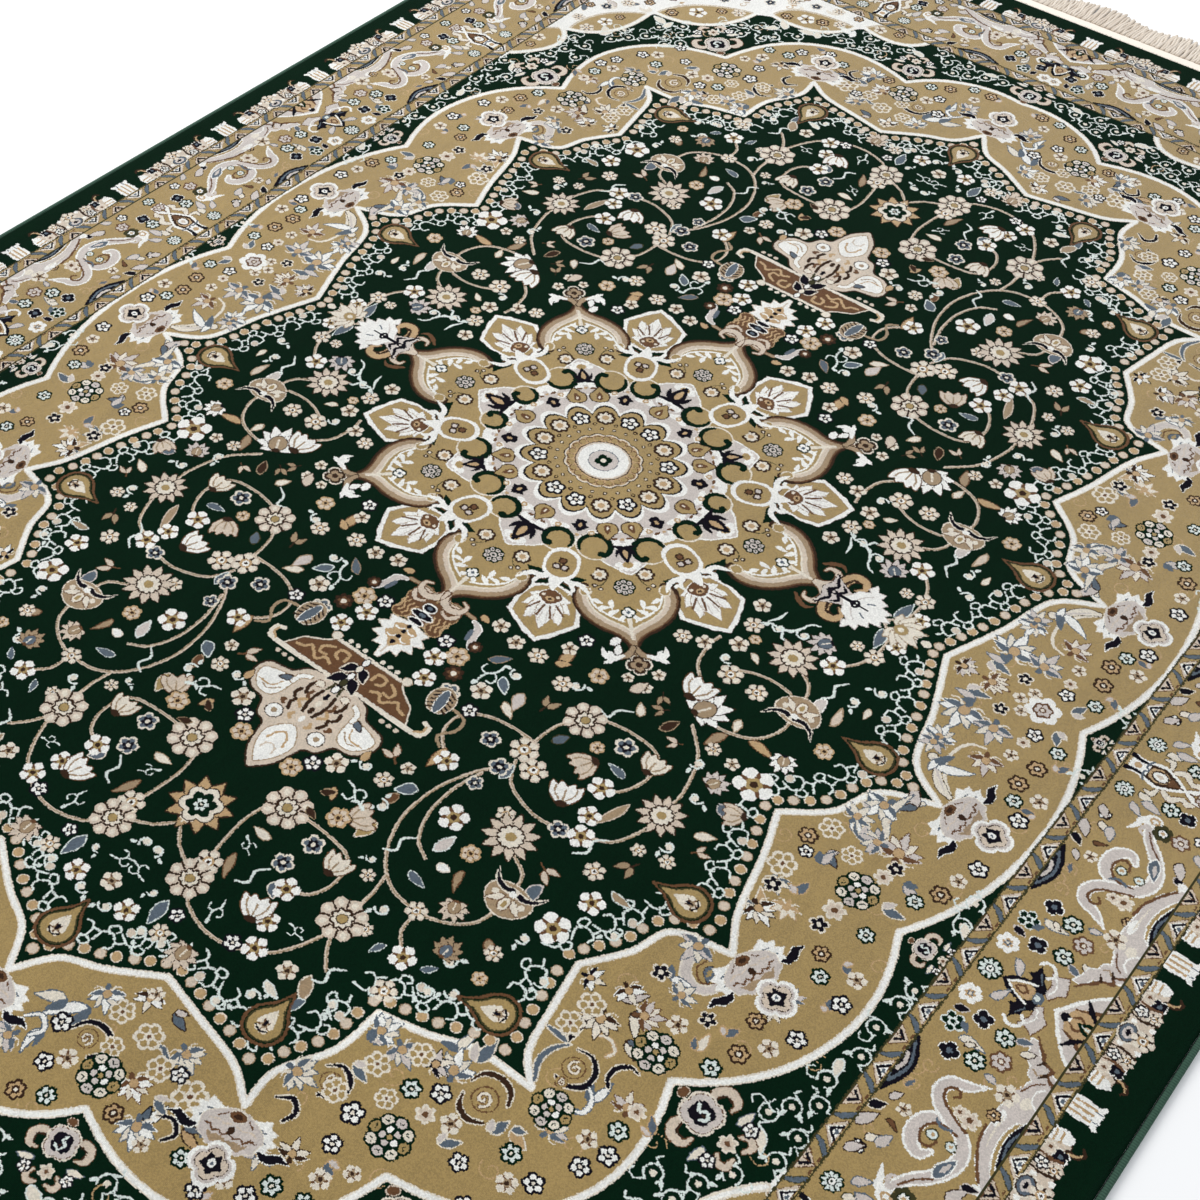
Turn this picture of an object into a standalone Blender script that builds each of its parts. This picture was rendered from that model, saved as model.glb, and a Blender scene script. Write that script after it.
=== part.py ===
"""Machine-made medallion rug, lying flat: pile cloth, two overcast sides and a fringe at each end.

Metres, +Z up. X runs across the rug and Y along it. The origin is on the floor, under the rug's middle.
"""

import math

import bmesh
import bpy

# The woven cloth: backing and pile together.
RUG_WIDTH = 2.000
BODY_LENGTH = 2.980
BODY_HEIGHT = 0.010
PILE_EDGE_ROUNDING = 0.0035

# Green yarn wrapped over each side.
OVERCAST_WIDTH = 0.0085
OVERCAST_HEIGHT = 0.0078

# Cream tape sewn across each end, and the strands that hang from it.
TAPE_WIDTH = 0.013
TAPE_HEIGHT = 0.0026
STRANDS_AT_EACH_END = 140
STRAND_PITCH = 0.01418
STRAND_REACH = 0.075
WAVE_HEIGHT = 0.0100
WAVE_PITCH = 0.166
STRAND_LEAN = 0.0022

# Gap left between two pieces that touch.
SEAM = 0.0003

# Outline of the overcast from its lower inner corner round to its lower outer corner,
# as shares of its width and height.
OVERCAST_PROFILE = [
    {"across": 0.00, "up": 0.00},
    {"across": 0.80, "up": 0.00},
    {"across": 1.00, "up": 0.30},
    {"across": 1.00, "up": 0.62},
    {"across": 0.76, "up": 0.94},
    {"across": 0.42, "up": 1.00},
    {"across": 0.00, "up": 0.86},
]

# A strand's cross-sections from its root to its cut end: share of its reach, width and height.
STRAND_SECTIONS = [
    {"along": 0.22, "wide": 0.0090, "high": 0.0050},
    {"along": 0.70, "wide": 0.0104, "high": 0.0044},
    {"along": 1.00, "wide": 0.0082, "high": 0.0026},
]
STRAND_ROOT_WIDTH = 0.0086

PIECE_COLOURS = [
    {"piece": "rug_body", "colour": (0.105, 0.098, 0.048, 1.0), "roughness": 0.90},
    {"piece": "overcast_right", "colour": (0.055, 0.165, 0.105, 1.0), "roughness": 0.80},
    {"piece": "overcast_left", "colour": (0.055, 0.165, 0.105, 1.0), "roughness": 0.80},
    {"piece": "fringe_far", "colour": (0.760, 0.700, 0.610, 1.0), "roughness": 0.75},
    {"piece": "fringe_near", "colour": (0.760, 0.700, 0.610, 1.0), "roughness": 0.75},
]


def clear_scene():
    for obj in list(bpy.data.objects):
        bpy.data.objects.remove(obj, do_unlink=True)


def piece_from(name, shape):
    """Turns a finished bmesh into a named object in the scene."""
    bmesh.ops.recalc_face_normals(shape, faces=shape.faces)
    mesh = bpy.data.meshes.new(name)
    shape.to_mesh(mesh)
    shape.free()
    obj = bpy.data.objects.new(name, mesh)
    bpy.context.scene.collection.objects.link(obj)
    return obj


def give_colour(obj, row):
    material = bpy.data.materials.new(obj.name)
    material.use_nodes = True
    shader = material.node_tree.nodes["Principled BSDF"]
    shader.inputs["Base Color"].default_value = row["colour"]
    shader.inputs["Roughness"].default_value = row["roughness"]
    shader.inputs["Metallic"].default_value = 0.0
    material.diffuse_color = row["colour"]
    obj.data.materials.append(material)


def rug_body():
    """One flat slab whose upper edges are rounded over, as the pile is at a cut edge."""
    width = RUG_WIDTH - 2 * (OVERCAST_WIDTH + SEAM)
    shape = bmesh.new()
    bmesh.ops.create_cube(shape, size=1.0)
    bmesh.ops.scale(shape, vec=(width, BODY_LENGTH, BODY_HEIGHT), verts=shape.verts)
    bmesh.ops.translate(shape, vec=(0.0, 0.0, BODY_HEIGHT / 2), verts=shape.verts)
    top_edges = [edge for edge in shape.edges if all(v.co.z > BODY_HEIGHT / 2 for v in edge.verts)]
    bmesh.ops.bevel(
        shape,
        geom=top_edges,
        offset=PILE_EDGE_ROUNDING,
        segments=3,
        profile=0.5,
        affect="EDGES",
    )
    return piece_from("rug_body", shape)


def overcast(name, side):
    """The wrapped side: one rounded bead as long as the cloth. side is +1 for right, -1 for left."""
    inner = RUG_WIDTH / 2 - OVERCAST_WIDTH
    shape = bmesh.new()
    corners = []
    for row in OVERCAST_PROFILE:
        x = side * (inner + row["across"] * OVERCAST_WIDTH)
        z = row["up"] * OVERCAST_HEIGHT
        corners.append(shape.verts.new((x, -BODY_LENGTH / 2, z)))
    section = shape.faces.new(corners)
    pulled = bmesh.ops.extrude_face_region(shape, geom=[section])
    far_corners = [item for item in pulled["geom"] if isinstance(item, bmesh.types.BMVert)]
    bmesh.ops.translate(shape, vec=(0.0, BODY_LENGTH, 0.0), verts=far_corners)
    return piece_from(name, shape)


def strand_lean(number):
    """How far a strand's middle and cut end stray sideways, in metres."""
    middle = STRAND_LEAN * math.sin(2.3 * number + 0.8 * math.sin(0.7 * number))
    end = 0.7 * STRAND_LEAN * math.sin(1.1 * number + 0.4) + 0.5 * middle
    return middle, end


def strand_reach(x):
    """How far a strand at x runs out from the tape: the cut ends follow an uneven wave."""
    wave = math.sin(2 * math.pi * x / WAVE_PITCH)
    slow_wave = 0.35 * math.sin(2 * math.pi * x / (2.7 * WAVE_PITCH) + 1.0)
    return STRAND_REACH + WAVE_HEIGHT * (wave + slow_wave)


def fringe(name, end):
    """A flat tape and the strands fused to it. end is +1 for the far end, -1 for the near one."""
    inner_y = BODY_LENGTH / 2 + SEAM
    outer_y = inner_y + TAPE_WIDTH
    count = STRANDS_AT_EACH_END
    first = -STRAND_PITCH * (count - 1) / 2
    middles = [first + STRAND_PITCH * number for number in range(count)]
    cuts = [-RUG_WIDTH / 2]
    for x in middles:
        cuts.append(x - STRAND_ROOT_WIDTH / 2)
        cuts.append(x + STRAND_ROOT_WIDTH / 2)
    cuts.append(RUG_WIDTH / 2)

    shape = bmesh.new()
    rows = []
    for y, z in ((inner_y, 0.0), (inner_y, TAPE_HEIGHT), (outer_y, TAPE_HEIGHT), (outer_y, 0.0)):
        rows.append([shape.verts.new((x, end * y, z)) for x in cuts])
    roots = []
    for place in range(len(cuts) - 1):
        for side in range(4):
            one = rows[side]
            other = rows[(side + 1) % 4]
            face = shape.faces.new((one[place], one[place + 1], other[place + 1], other[place]))
            if side == 2 and place % 2 == 1:
                roots.append(face)
    shape.faces.new([row[0] for row in rows])
    shape.faces.new([row[-1] for row in reversed(rows)])

    for number, (x, root) in enumerate(zip(middles, roots)):
        reach = strand_reach(x)
        lean = strand_lean(number)
        strays = (0.5 * lean[0], lean[0], lean[1])
        tip = root
        for section, stray in zip(STRAND_SECTIONS, strays):
            pulled = bmesh.ops.extrude_face_region(shape, geom=[tip])
            bmesh.ops.delete(shape, geom=[tip], context="FACES_ONLY")
            tip = [item for item in pulled["geom"] if isinstance(item, bmesh.types.BMFace)][0]
            middle_x = sum(v.co.x for v in tip.verts) / 4
            middle_z = sum(v.co.z for v in tip.verts) / 4
            for v in tip.verts:
                across = 1.0 if v.co.x > middle_x else -1.0
                upper = v.co.z > middle_z
                v.co.x = x + stray + across * section["wide"] / 2
                v.co.y = end * (outer_y + section["along"] * reach)
                v.co.z = section["high"] if upper else 0.0
    return piece_from(name, shape)


clear_scene()
rug_body()
overcast("overcast_right", 1.0)
overcast("overcast_left", -1.0)
fringe("fringe_far", 1.0)
fringe("fringe_near", -1.0)
for colour_row in PIECE_COLOURS:
    give_colour(bpy.data.objects[colour_row["piece"]], colour_row)
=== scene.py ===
from math import atan2, cos, degrees, hypot, pi, radians, sin

import bpy
import numpy as np
from mathutils import Matrix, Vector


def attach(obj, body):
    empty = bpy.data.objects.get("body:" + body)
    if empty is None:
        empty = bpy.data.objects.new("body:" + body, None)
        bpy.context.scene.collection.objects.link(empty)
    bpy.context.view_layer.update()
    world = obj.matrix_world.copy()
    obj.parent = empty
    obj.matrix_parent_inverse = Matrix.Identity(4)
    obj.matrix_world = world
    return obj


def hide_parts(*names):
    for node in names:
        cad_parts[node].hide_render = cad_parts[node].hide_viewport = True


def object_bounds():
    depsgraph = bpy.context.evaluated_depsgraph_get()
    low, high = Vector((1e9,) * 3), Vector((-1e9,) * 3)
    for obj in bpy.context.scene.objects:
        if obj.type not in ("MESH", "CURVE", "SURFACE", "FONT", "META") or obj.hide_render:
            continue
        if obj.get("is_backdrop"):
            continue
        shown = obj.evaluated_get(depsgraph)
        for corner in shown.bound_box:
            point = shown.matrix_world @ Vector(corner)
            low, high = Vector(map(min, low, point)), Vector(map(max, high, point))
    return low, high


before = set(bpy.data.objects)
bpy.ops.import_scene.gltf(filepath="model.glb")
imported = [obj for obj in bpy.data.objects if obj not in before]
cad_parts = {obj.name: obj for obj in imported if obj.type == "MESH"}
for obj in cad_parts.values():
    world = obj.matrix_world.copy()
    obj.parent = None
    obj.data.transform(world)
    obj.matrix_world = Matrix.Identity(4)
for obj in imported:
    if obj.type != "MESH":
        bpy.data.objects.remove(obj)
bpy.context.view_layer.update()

# ROOM
# The rug lies on a plain pale studio floor. It is seen from above its near right corner, from about
# standing height, under soft daylight from a wide window and a pale sky.
scene = bpy.context.scene
scene.view_settings.view_transform = "Standard"

camera = bpy.data.objects.new("camera", bpy.data.cameras.new("camera"))
scene.collection.objects.link(camera)
camera.matrix_world = Matrix((
    (0.75824, -0.48787, 0.4325, 0.9796),
    (0.65174, 0.54943, -0.52284, -1.5778),
    (0.01745, 0.67831, 0.73457, 1.723),
    (0, 0, 0, 1),
))
camera.data.lens = 55.31
camera.data.shift_x = 0.1538
camera.data.shift_y = -0.0042
camera.data.clip_end = 50
scene.camera = camera


def shader(name, colour, roughness, **sockets):
    """A Principled material and its node tree. Other sockets are named with underscores for spaces."""
    material = bpy.data.materials.new(name)
    material.use_nodes = True
    principled = material.node_tree.nodes["Principled BSDF"]
    principled.inputs["Base Color"].default_value = (*colour, 1)
    principled.inputs["Roughness"].default_value = roughness
    for socket, value in sockets.items():
        principled.inputs[socket.replace("_", " ")].default_value = value
    return material, material.node_tree, principled


def mesh_object(name, corners, faces, *materials):
    mesh = bpy.data.meshes.new(name)
    mesh.from_pydata(corners, [], faces)
    for material in materials:
        mesh.materials.append(material)
    piece = bpy.data.objects.new(name, mesh)
    scene.collection.objects.link(piece)
    return piece


floor_paint, _, _ = shader("floor_paint", (0.86, 0.86, 0.86), 0.75)
floor = mesh_object("studio_floor", [(-9, -9, -0.0005), (9, -9, -0.0005), (9, 9, -0.0005),
                                     (-9, 9, -0.0005)],
                    [(0, 1, 2, 3)], floor_paint)
floor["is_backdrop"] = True

world = bpy.data.worlds.new("pale_sky")
world.use_nodes = True
world.node_tree.nodes["Background"].inputs["Color"].default_value = (0.93, 0.96, 1.0, 1)
world.node_tree.nodes["Background"].inputs["Strength"].default_value = 0.75
scene.world = world

# name, place, width, power, colour: every lamp looks at the middle of the rug.
LAMPS = [
    ("window", (-3.2, 1.8, 3.6), 3.0, 205, (1.0, 0.98, 0.95)),
    ("fill", (3.4, -2.6, 3.8), 3.4, 25, (0.95, 0.97, 1.0)),
]
for name, place, width, power, colour in LAMPS:
    light = bpy.data.lights.new(name, "AREA")
    light.size, light.energy, light.color = width, power, colour
    lamp = bpy.data.objects.new(name, light)
    lamp.location = place
    lamp.rotation_euler = (-lamp.location).to_track_quat("-Z", "Y").to_euler()
    scene.collection.objects.link(lamp)

# BACKING
# The woven ground of the rug: polypropylene warp and jute weft, stiffened with size underneath. The whole
# rug is woven on it in one piece, 1.98 m wide and 2.98 m long.
HALF_WIDTH, HALF_LENGTH = 0.9912, 1.49
BACKING_TOP = 0.004


def nodes_for(tree):
    """Short calls that add a node and link its inputs."""
    def math(operation, a, b=0.0, c=0.0):
        node = tree.nodes.new("ShaderNodeMath")
        node.operation = operation
        for socket, value in zip(node.inputs, (a, b, c)):
            link(value, socket)
        return node.outputs[0]

    def link(value, socket):
        if isinstance(value, bpy.types.NodeSocket):
            tree.links.new(value, socket)
        else:
            socket.default_value = value

    def add(kind, **inputs):
        node = tree.nodes.new(kind)
        for name, value in inputs.items():
            link(value, node.inputs[name.replace("_", " ")])
        return node

    return math, link, add


def weave_bump(tree, principled, height, depth, strength=1.0):
    math, link, add = nodes_for(tree)
    bump = add("ShaderNodeBump", Height=height, Distance=depth, Strength=strength)
    tree.links.new(bump.outputs["Normal"], principled.inputs["Normal"])


def place_xyz(tree):
    """The three coordinates of a spot on the piece, in metres."""
    split = tree.nodes.new("ShaderNodeSeparateXYZ")
    tree.links.new(tree.nodes.new("ShaderNodeTexCoord").outputs["Object"], split.inputs[0])
    return split.outputs


jute, tree, principled = shader("jute_backing", (0.42, 0.33, 0.21), 0.92, Sheen_Weight=0.2)
math, link, add = nodes_for(tree)
x, y, z = place_xyz(tree)
warp = math("SINE", math("MULTIPLY", x, 2 * pi / 0.0042))
weft = math("SINE", math("MULTIPLY", y, 2 * pi / 0.0036))
# Painted shade: the tone rises where warp and weft cross on top and falls in the hollows of the weave.
weave = math("MULTIPLY", math("ADD", warp, 1.0), math("ADD", weft, 1.0))
fleck = add("ShaderNodeTexNoise", Vector=tree.nodes["Texture Coordinate"].outputs["Object"], Scale=160.0)
tone = math("MULTIPLY_ADD", fleck.outputs["Fac"], 0.35, math("MULTIPLY", weave, 0.16))
ramp = add("ShaderNodeValToRGB", Fac=tone)
ramp.color_ramp.elements[0].color = (0.16, 0.115, 0.065, 1)
ramp.color_ramp.elements[1].color = (0.58, 0.47, 0.31, 1)
link(ramp.outputs["Color"], principled.inputs["Base Color"])
weave_bump(tree, principled, weave, 0.0003)


def slab(name, steps_x, steps_y, low, high, material):
    """A closed flat sheet, square at its corners."""
    xs = np.linspace(-HALF_WIDTH + 0.0006, HALF_WIDTH - 0.0006, steps_x)
    ys = np.linspace(-HALF_LENGTH + 0.0004, HALF_LENGTH - 0.0004, steps_y)
    corners = [(x, y, z) for z in (low, high) for y in ys for x in xs]
    layer = steps_x * steps_y
    quads = [(r * steps_x + c, r * steps_x + c + 1, (r + 1) * steps_x + c + 1, (r + 1) * steps_x + c)
             for r in range(steps_y - 1) for c in range(steps_x - 1)]
    faces = [q[::-1] for q in quads] + [tuple(i + layer for i in q) for q in quads]
    ring = [c for c in range(steps_x)] + [r * steps_x + steps_x - 1 for r in range(1, steps_y)]
    ring += [(steps_y - 1) * steps_x + c for c in range(steps_x - 2, -1, -1)]
    ring += [r * steps_x for r in range(steps_y - 2, 0, -1)]
    for a, b in zip(ring, ring[1:] + ring[:1]):
        faces.append((a, b, b + layer, a + layer))
    return mesh_object(name, corners, faces, material)


backing = slab("rug_backing", 41, 61, 0.0003, BACKING_TOP, jute)
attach(backing, "root")
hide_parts("rug_body")

# PILE
# Heat-set pile yarn in fourteen colours, woven face to face and cut to 6 mm. Every tuft is one yarn, with 792
# of them across each half and 1188 along it, and the quarters mirror each other.

# The pattern is set out on a chart of one quarter, in millimetres from the rug's middle. Four squares of the
# chart make one tuft.
rng = np.random.default_rng(11)
ACROSS, ALONG = 792, 1188
FINE = 2
STEP_X, STEP_Y = 1000 * HALF_WIDTH / (ACROSS * FINE), 1000 * HALF_LENGTH / (ALONG * FINE)
# Each yarn's colour as dyed, in linear light.
YARN_COLOURS = {
    "green": (0.0007, 0.0116, 0.0043), "gold": (0.328, 0.224, 0.078), "cream": (0.67, 0.605, 0.495),
    "snow": (0.77, 0.76, 0.715), "beige": (0.56, 0.46, 0.355), "tan": (0.31, 0.215, 0.12),
    "brown": (0.12, 0.054, 0.022), "black": (0.006, 0.005, 0.009), "slate": (0.085, 0.112, 0.142),
    "ice": (0.61, 0.67, 0.63), "silver": (0.52, 0.46, 0.42), "camel": (0.44, 0.285, 0.13),
    "olive": (0.04, 0.037, 0.013), "bark": (0.036, 0.017, 0.009),
}
YARNS = ["none", *YARN_COLOURS]
YARN_NUMBER = {name: number for number, name in enumerate(YARNS)}
chart = np.full((ALONG * FINE, ACROSS * FINE), YARN_NUMBER["green"], np.uint8)


def smooth(points, closed=False, steps=8):
    """A rounded path through a few points."""
    p = np.asarray(points, float)
    if closed:
        p = np.concatenate([p[-1:], p, p[:2]])
    else:
        p = np.concatenate([2 * p[:1] - p[1:2], p, 2 * p[-1:] - p[-2:-1]])
    t = np.linspace(0, 1, steps, endpoint=False)[:, None]
    a, b, c, d = p[:-3, None], p[1:-2, None], p[2:-1, None], p[3:, None]
    path = 0.5 * (2 * b + (c - a) * t + (2 * a - 5 * b + 4 * c - d) * t**2 + (3 * b - a - 3 * c + d) * t**3)
    path = path.reshape(-1, 2)
    return path if closed else np.concatenate([path, p[-2:-1]])


def fill(outline, yarn):
    """Lays one yarn inside a closed outline."""
    x, y = outline[:, 0] / STEP_X, outline[:, 1] / STEP_Y
    top, right = chart.shape
    r0, r1 = max(0, int(np.ceil(y.min() - 0.5))), min(top, int(np.ceil(y.max() - 0.5)))
    c0, c1 = max(0, int(np.ceil(x.min() - 0.5))), min(right, int(np.ceil(x.max() - 0.5)))
    if r0 >= r1 or c0 >= c1:
        return
    edges = np.zeros((r1 - r0, c1 - c0 + 1), bool)
    for xa, ya, xb, yb in zip(x, y, np.roll(x, -1), np.roll(y, -1)):
        lo, hi = (ya, yb) if ya < yb else (yb, ya)
        rows = np.arange(max(r0, int(np.ceil(lo - 0.5))), min(r1, int(np.ceil(hi - 0.5))))
        if len(rows):
            at = xa + (rows + 0.5 - ya) * (xb - xa) / (yb - ya)
            cols = np.clip(np.ceil(at - 0.5).astype(int), c0, c1)
            edges[rows - r0, cols - c0] ^= True
    inside = np.logical_xor.accumulate(edges, axis=1)[:, :-1]
    chart[r0:r1, c0:c1][inside] = YARN_NUMBER[yarn]


def stitch(path, width, yarn):
    """Lays a line of yarn along a path. Its width may change along it."""
    path = np.asarray(path, float)
    run = np.concatenate([[0], np.cumsum(np.hypot(*np.diff(path, axis=0).T))])
    widths = np.atleast_1d(width)
    count = max(2, int(run[-1] / max(0.3, 0.12 * widths.max())) + 1)
    s = np.linspace(0, run[-1], count)
    x, y = np.interp(s, run, path[:, 0]) / STEP_X, np.interp(s, run, path[:, 1]) / STEP_Y
    r = np.interp(s, np.linspace(0, run[-1], len(widths)), widths) / (STEP_X + STEP_Y)
    span = int(np.ceil(r.max())) + 1
    dy, dx = [d.ravel() for d in np.mgrid[-span:span + 1, -span:span + 1]]
    rows, cols = np.floor(y)[:, None].astype(int) + dy, np.floor(x)[:, None].astype(int) + dx
    hit = (rows + 0.5 - y[:, None])**2 + (cols + 0.5 - x[:, None])**2 <= np.maximum(r, 0.6)[:, None]**2
    hit &= (rows >= 0) & (rows < chart.shape[0]) & (cols >= 0) & (cols < chart.shape[1])
    chart[rows[hit], cols[hit]] = YARN_NUMBER[yarn]


def lobes(count, reach, depth=0.3, sharp=1.0, turn=0.0):
    """The outline of a flower with even petals: the first petal points ahead."""
    a = np.linspace(0, 2 * pi, max(24, 10 * count), endpoint=False)
    r = reach * (1 - depth + depth * np.abs(np.cos(count * a / 2))**sharp) if count else reach + 0 * a
    return np.stack([r * np.sin(a + radians(turn)), r * np.cos(a + radians(turn))], 1)


# Flowers, each from its rim to its eye: share of the reach, petals, depth of the petals, sharpness, turn,
# yarn.
FLOWERS = {
    "white": [(1.0, 5, 0.32, 0.7, 0, "cream"), (0.74, 5, 0.82, 3, 36, "brown"), (0.38, 0, 0, 1, 0, "tan"),
              (0.2, 0, 0, 1, 0, "bark")],
    "black": [(1.0, 5, 0.24, 0.7, 0, "black"), (0.78, 5, 0.5, 0.8, 0, "snow"),
              (0.42, 5, 0.4, 1, 36, "black"),
              (0.16, 0, 0, 1, 0, "cream")],
    "blackfull": [(1.0, 5, 0.42, 0.7, 0, "cream"), (0.8, 5, 0.5, 0.7, 0, "black"),
                  (0.25, 0, 0, 1, 0, "cream")],
    "green": [(1.0, 6, 0.2, 0.7, 0, "green"), (0.78, 6, 0.5, 0.8, 0, "ice"), (0.34, 0, 0, 1, 0, "green"),
              (0.15, 0, 0, 1, 0, "cream")],
    "brown": [(1.0, 6, 0.24, 0.7, 0, "bark"), (0.76, 6, 0.4, 0.8, 0, "camel"), (0.4, 0, 0, 1, 0, "bark"),
              (0.18, 0, 0, 1, 0, "cream")],
    "pale": [(1.0, 6, 0.35, 0.8, 0, "cream"), (0.72, 6, 0.4, 0.8, 0, "beige"), (0.28, 0, 0, 1, 0, "brown")],
    "lace": [(1.0, 6, 0.24, 0.8, 0, "cream"), (0.78, 6, 0.3, 0.8, 0, "gold"),
             (0.62, 6, 0.85, 3, 30, "cream"),
             (0.32, 0, 0, 1, 0, "cream"), (0.15, 0, 0, 1, 0, "brown")],
    "snowgold": [(1.0, 5, 0.34, 0.6, 0, "snow"), (0.8, 5, 0.84, 3, 36, "brown"),
                 (0.42, 5, 0.2, 1, 36, "gold"),
                 (0.2, 0, 0, 1, 0, "bark")],
    "creamtan": [(1.0, 6, 0.32, 0.7, 0, "beige"), (0.86, 6, 0.34, 0.7, 0, "cream"),
                 (0.78, 6, 0.84, 3, 30, "bark"), (0.42, 0, 0, 1, 0, "camel"),
                 (0.26, 0, 0, 1, 0, "snow"), (0.13, 0, 0, 1, 0, "bark")],
    "night": [(1.0, 5, 0.32, 0.7, 0, "cream"), (0.78, 5, 0.4, 0.7, 0, "slate"),
              (0.55, 5, 0.5, 0.7, 36, "black"),
              (0.2, 0, 0, 1, 0, "cream")],
    "dusky": [(1.0, 6, 0.22, 0.7, 0, "camel"), (0.82, 6, 0.35, 0.8, 0, "beige"),
              (0.62, 6, 0.85, 3, 30, "brown"),
              (0.36, 0, 0, 1, 0, "camel"), (0.18, 0, 0, 1, 0, "bark")],
    "ember": [(1.0, 8, 0.22, 0.8, 0, "bark"), (0.62, 5, 0.4, 0.8, 0, "brown"), (0.3, 0, 0, 1, 0, "cream")],
    "quatrefoil": [(1.0, 4, 0.3, 0.6, 0, "green"), (0.78, 4, 0.45, 0.6, 0, "snow"),
                   (0.26, 0, 0, 1, 0, "slate")],
    "ringed": [(1.0, 8, 0.14, 0.8, 0, "bark"), (0.74, 8, 0.3, 0.8, 0, "cream"),
               (0.34, 0, 0, 1, 0, "camel")],
    "dusk": [(1.0, 4, 0.28, 0.5, 45, "cream"), (0.86, 4, 0.34, 0.5, 45, "bark"),
             (0.62, 4, 0.4, 0.6, 45, "tan"),
             (0.24, 0, 0, 1, 0, "bark")],
    "blush": [(1.0, 6, 0.22, 0.7, 0, "brown"), (0.8, 6, 0.42, 0.8, 0, "silver"),
              (0.34, 0, 0, 1, 0, "brown"),
              (0.18, 0, 0, 1, 0, "cream")],
    "pine": [(1.0, 5, 0.35, 0.7, 0, "ice"), (0.86, 5, 0.45, 0.7, 0, "green"),
             (0.52, 5, 0.5, 0.8, 36, "ice"),
             (0.22, 0, 0, 1, 0, "green")],
    "navy": [(1.0, 4, 0.3, 0.6, 45, "snow"), (0.9, 4, 0.38, 0.6, 45, "black"), (0.28, 0, 0, 1, 0, "slate")],
    "mossy": [(1.0, 7, 0.18, 0.7, 0, "olive"), (0.55, 5, 0.3, 0.8, 0, "green"),
              (0.42, 5, 0.3, 0.8, 0, "snow"),
              (0.18, 0, 0, 1, 0, "camel")],
    "daisy": [(1.0, 10, 0.14, 0.7, 0, "green"), (0.88, 10, 0.55, 0.9, 0, "ice"), (0.4, 0, 0, 1, 0, "green"),
              (0.3, 0, 0, 1, 0, "snow"), (0.12, 0, 0, 1, 0, "green")],
    "fleece": [(1.0, 6, 0.26, 0.7, 0, "snow"), (0.46, 6, 0.4, 0.8, 0, "camel"),
               (0.3, 4, 0.5, 0.8, 0, "slate"),
               (0.14, 0, 0, 1, 0, "cream")],
}


class Needle:
    """A spot on the chart with its own turn, size and hand. Motifs are laid from it, u across and v ahead."""

    def __init__(self, x=0.0, y=0.0, turn=0.0, size=1.0, flip=1.0, stretch=(1.0, 1.0)):
        self.x, self.y, self.turn, self.size, self.flip, self.stretch = x, y, turn, size, flip, stretch

    def spot(self, points):
        """Where the needle's points fall on the chart."""
        p = np.atleast_2d(np.asarray(points, float)) * self.size
        u, v = p[:, 0] * self.flip, p[:, 1]
        c, s = cos(radians(self.turn)), sin(radians(self.turn))
        return np.stack([self.x + c * u + s * v, self.y - s * u + c * v], 1)

    def out(self, points):
        """The same, with the stretch of the whole ornament."""
        return self.spot(points) * self.stretch

    def at(self, u, v, turn=0.0, size=1.0, flip=1.0):
        """A needle moved, turned, scaled or mirrored from this one."""
        x, y = self.spot([(u, v)])[0]
        return Needle(x, y, self.turn + self.flip * turn, self.size * size, self.flip * flip, self.stretch)

    def shape(self, points, yarn, rim=None, width=2, mirror=False, rounded=True):
        """A closed patch. With mirror, the points are its right half from top to bottom."""
        p = np.asarray(points, float)
        if mirror:
            other = p[::-1] * (-1, 1)
            p = np.concatenate([p, other[other[:, 0] < -1e-6]])
        if rounded:
            p = smooth(p, closed=True, steps=5)
        p = self.out(p)
        if rim:
            stitch(np.concatenate([p, p[:1]]), 2 * width * self.size, rim)
        fill(p, yarn)
        return self

    def line(self, points, width, yarn, rounded=True, rim=None, rim_width=2):
        """A line of one width, or of widths that change evenly along it."""
        p = self.out(smooth(points) if rounded and len(points) > 2 else points)
        w = np.atleast_1d(width) * self.size
        if rim:
            stitch(p, w + 2 * rim_width * self.size, rim)
        stitch(p, w, yarn)
        return self

    def oval(self, u, v, across, ahead, yarn, turn=0.0, rim=None, width=2):
        """An oval by its two half-widths."""
        a = np.linspace(0, 2 * pi, 28, endpoint=False)
        n = self.at(u, v, turn)
        n.shape(np.stack([across * np.sin(a), ahead * np.cos(a)], 1), yarn, rim, width, rounded=False)
        return self

    def flower(self, kind, reach, u=0.0, v=0.0, turn=0.0):
        """One of the kinds in FLOWERS."""
        n = self.at(u, v, turn)
        for share, petals, depth, sharp, twist, yarn in FLOWERS[kind]:
            n.shape(lobes(petals, reach * share, depth, sharp, twist), yarn, rounded=False)
        return self

    def leaf(self, length, width, yarn, bend=0.0, rim=None, rim_width=1.5, vein=None):
        """A pointed leaf from the needle ahead, bent to its right by bend."""
        t = np.linspace(0, 1, 9)
        mid = np.stack([bend * length * t**2, length * t], 1)
        half = 0.5 * width * np.sin(pi * t**0.8)
        side = np.stack([half, 0 * half], 1)
        p = np.concatenate([mid + side, (mid - side)[-2:0:-1]])
        self.shape(p, yarn, rim, rim_width, rounded=False)
        if vein:
            self.line(mid[1:-1], 1.2, vein)
        return self

    def curl(self, reach, turns, width, yarn, hand=1.0, rim=None, rim_width=1.5):
        """A spiral that leaves the needle ahead and winds up to its right."""
        a = np.linspace(0, 2 * pi * turns, int(14 * turns) + 4)
        r = reach * (1 - 0.82 * a / a[-1])
        p = np.stack([hand * (reach - r * np.cos(a)), r * np.sin(a)], 1)
        self.line(p, width, yarn, rim=rim, rim_width=rim_width)
        return self


# GOLD GROUND OF THE WREATH
# The field that the wreath of flowers lies on, woven in gold pile yarn. Its edge bows out between notches.
# Most of the pattern is laid from one Needle, CLOTH, which stands at the rug's middle.
CLOTH = Needle()


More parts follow.
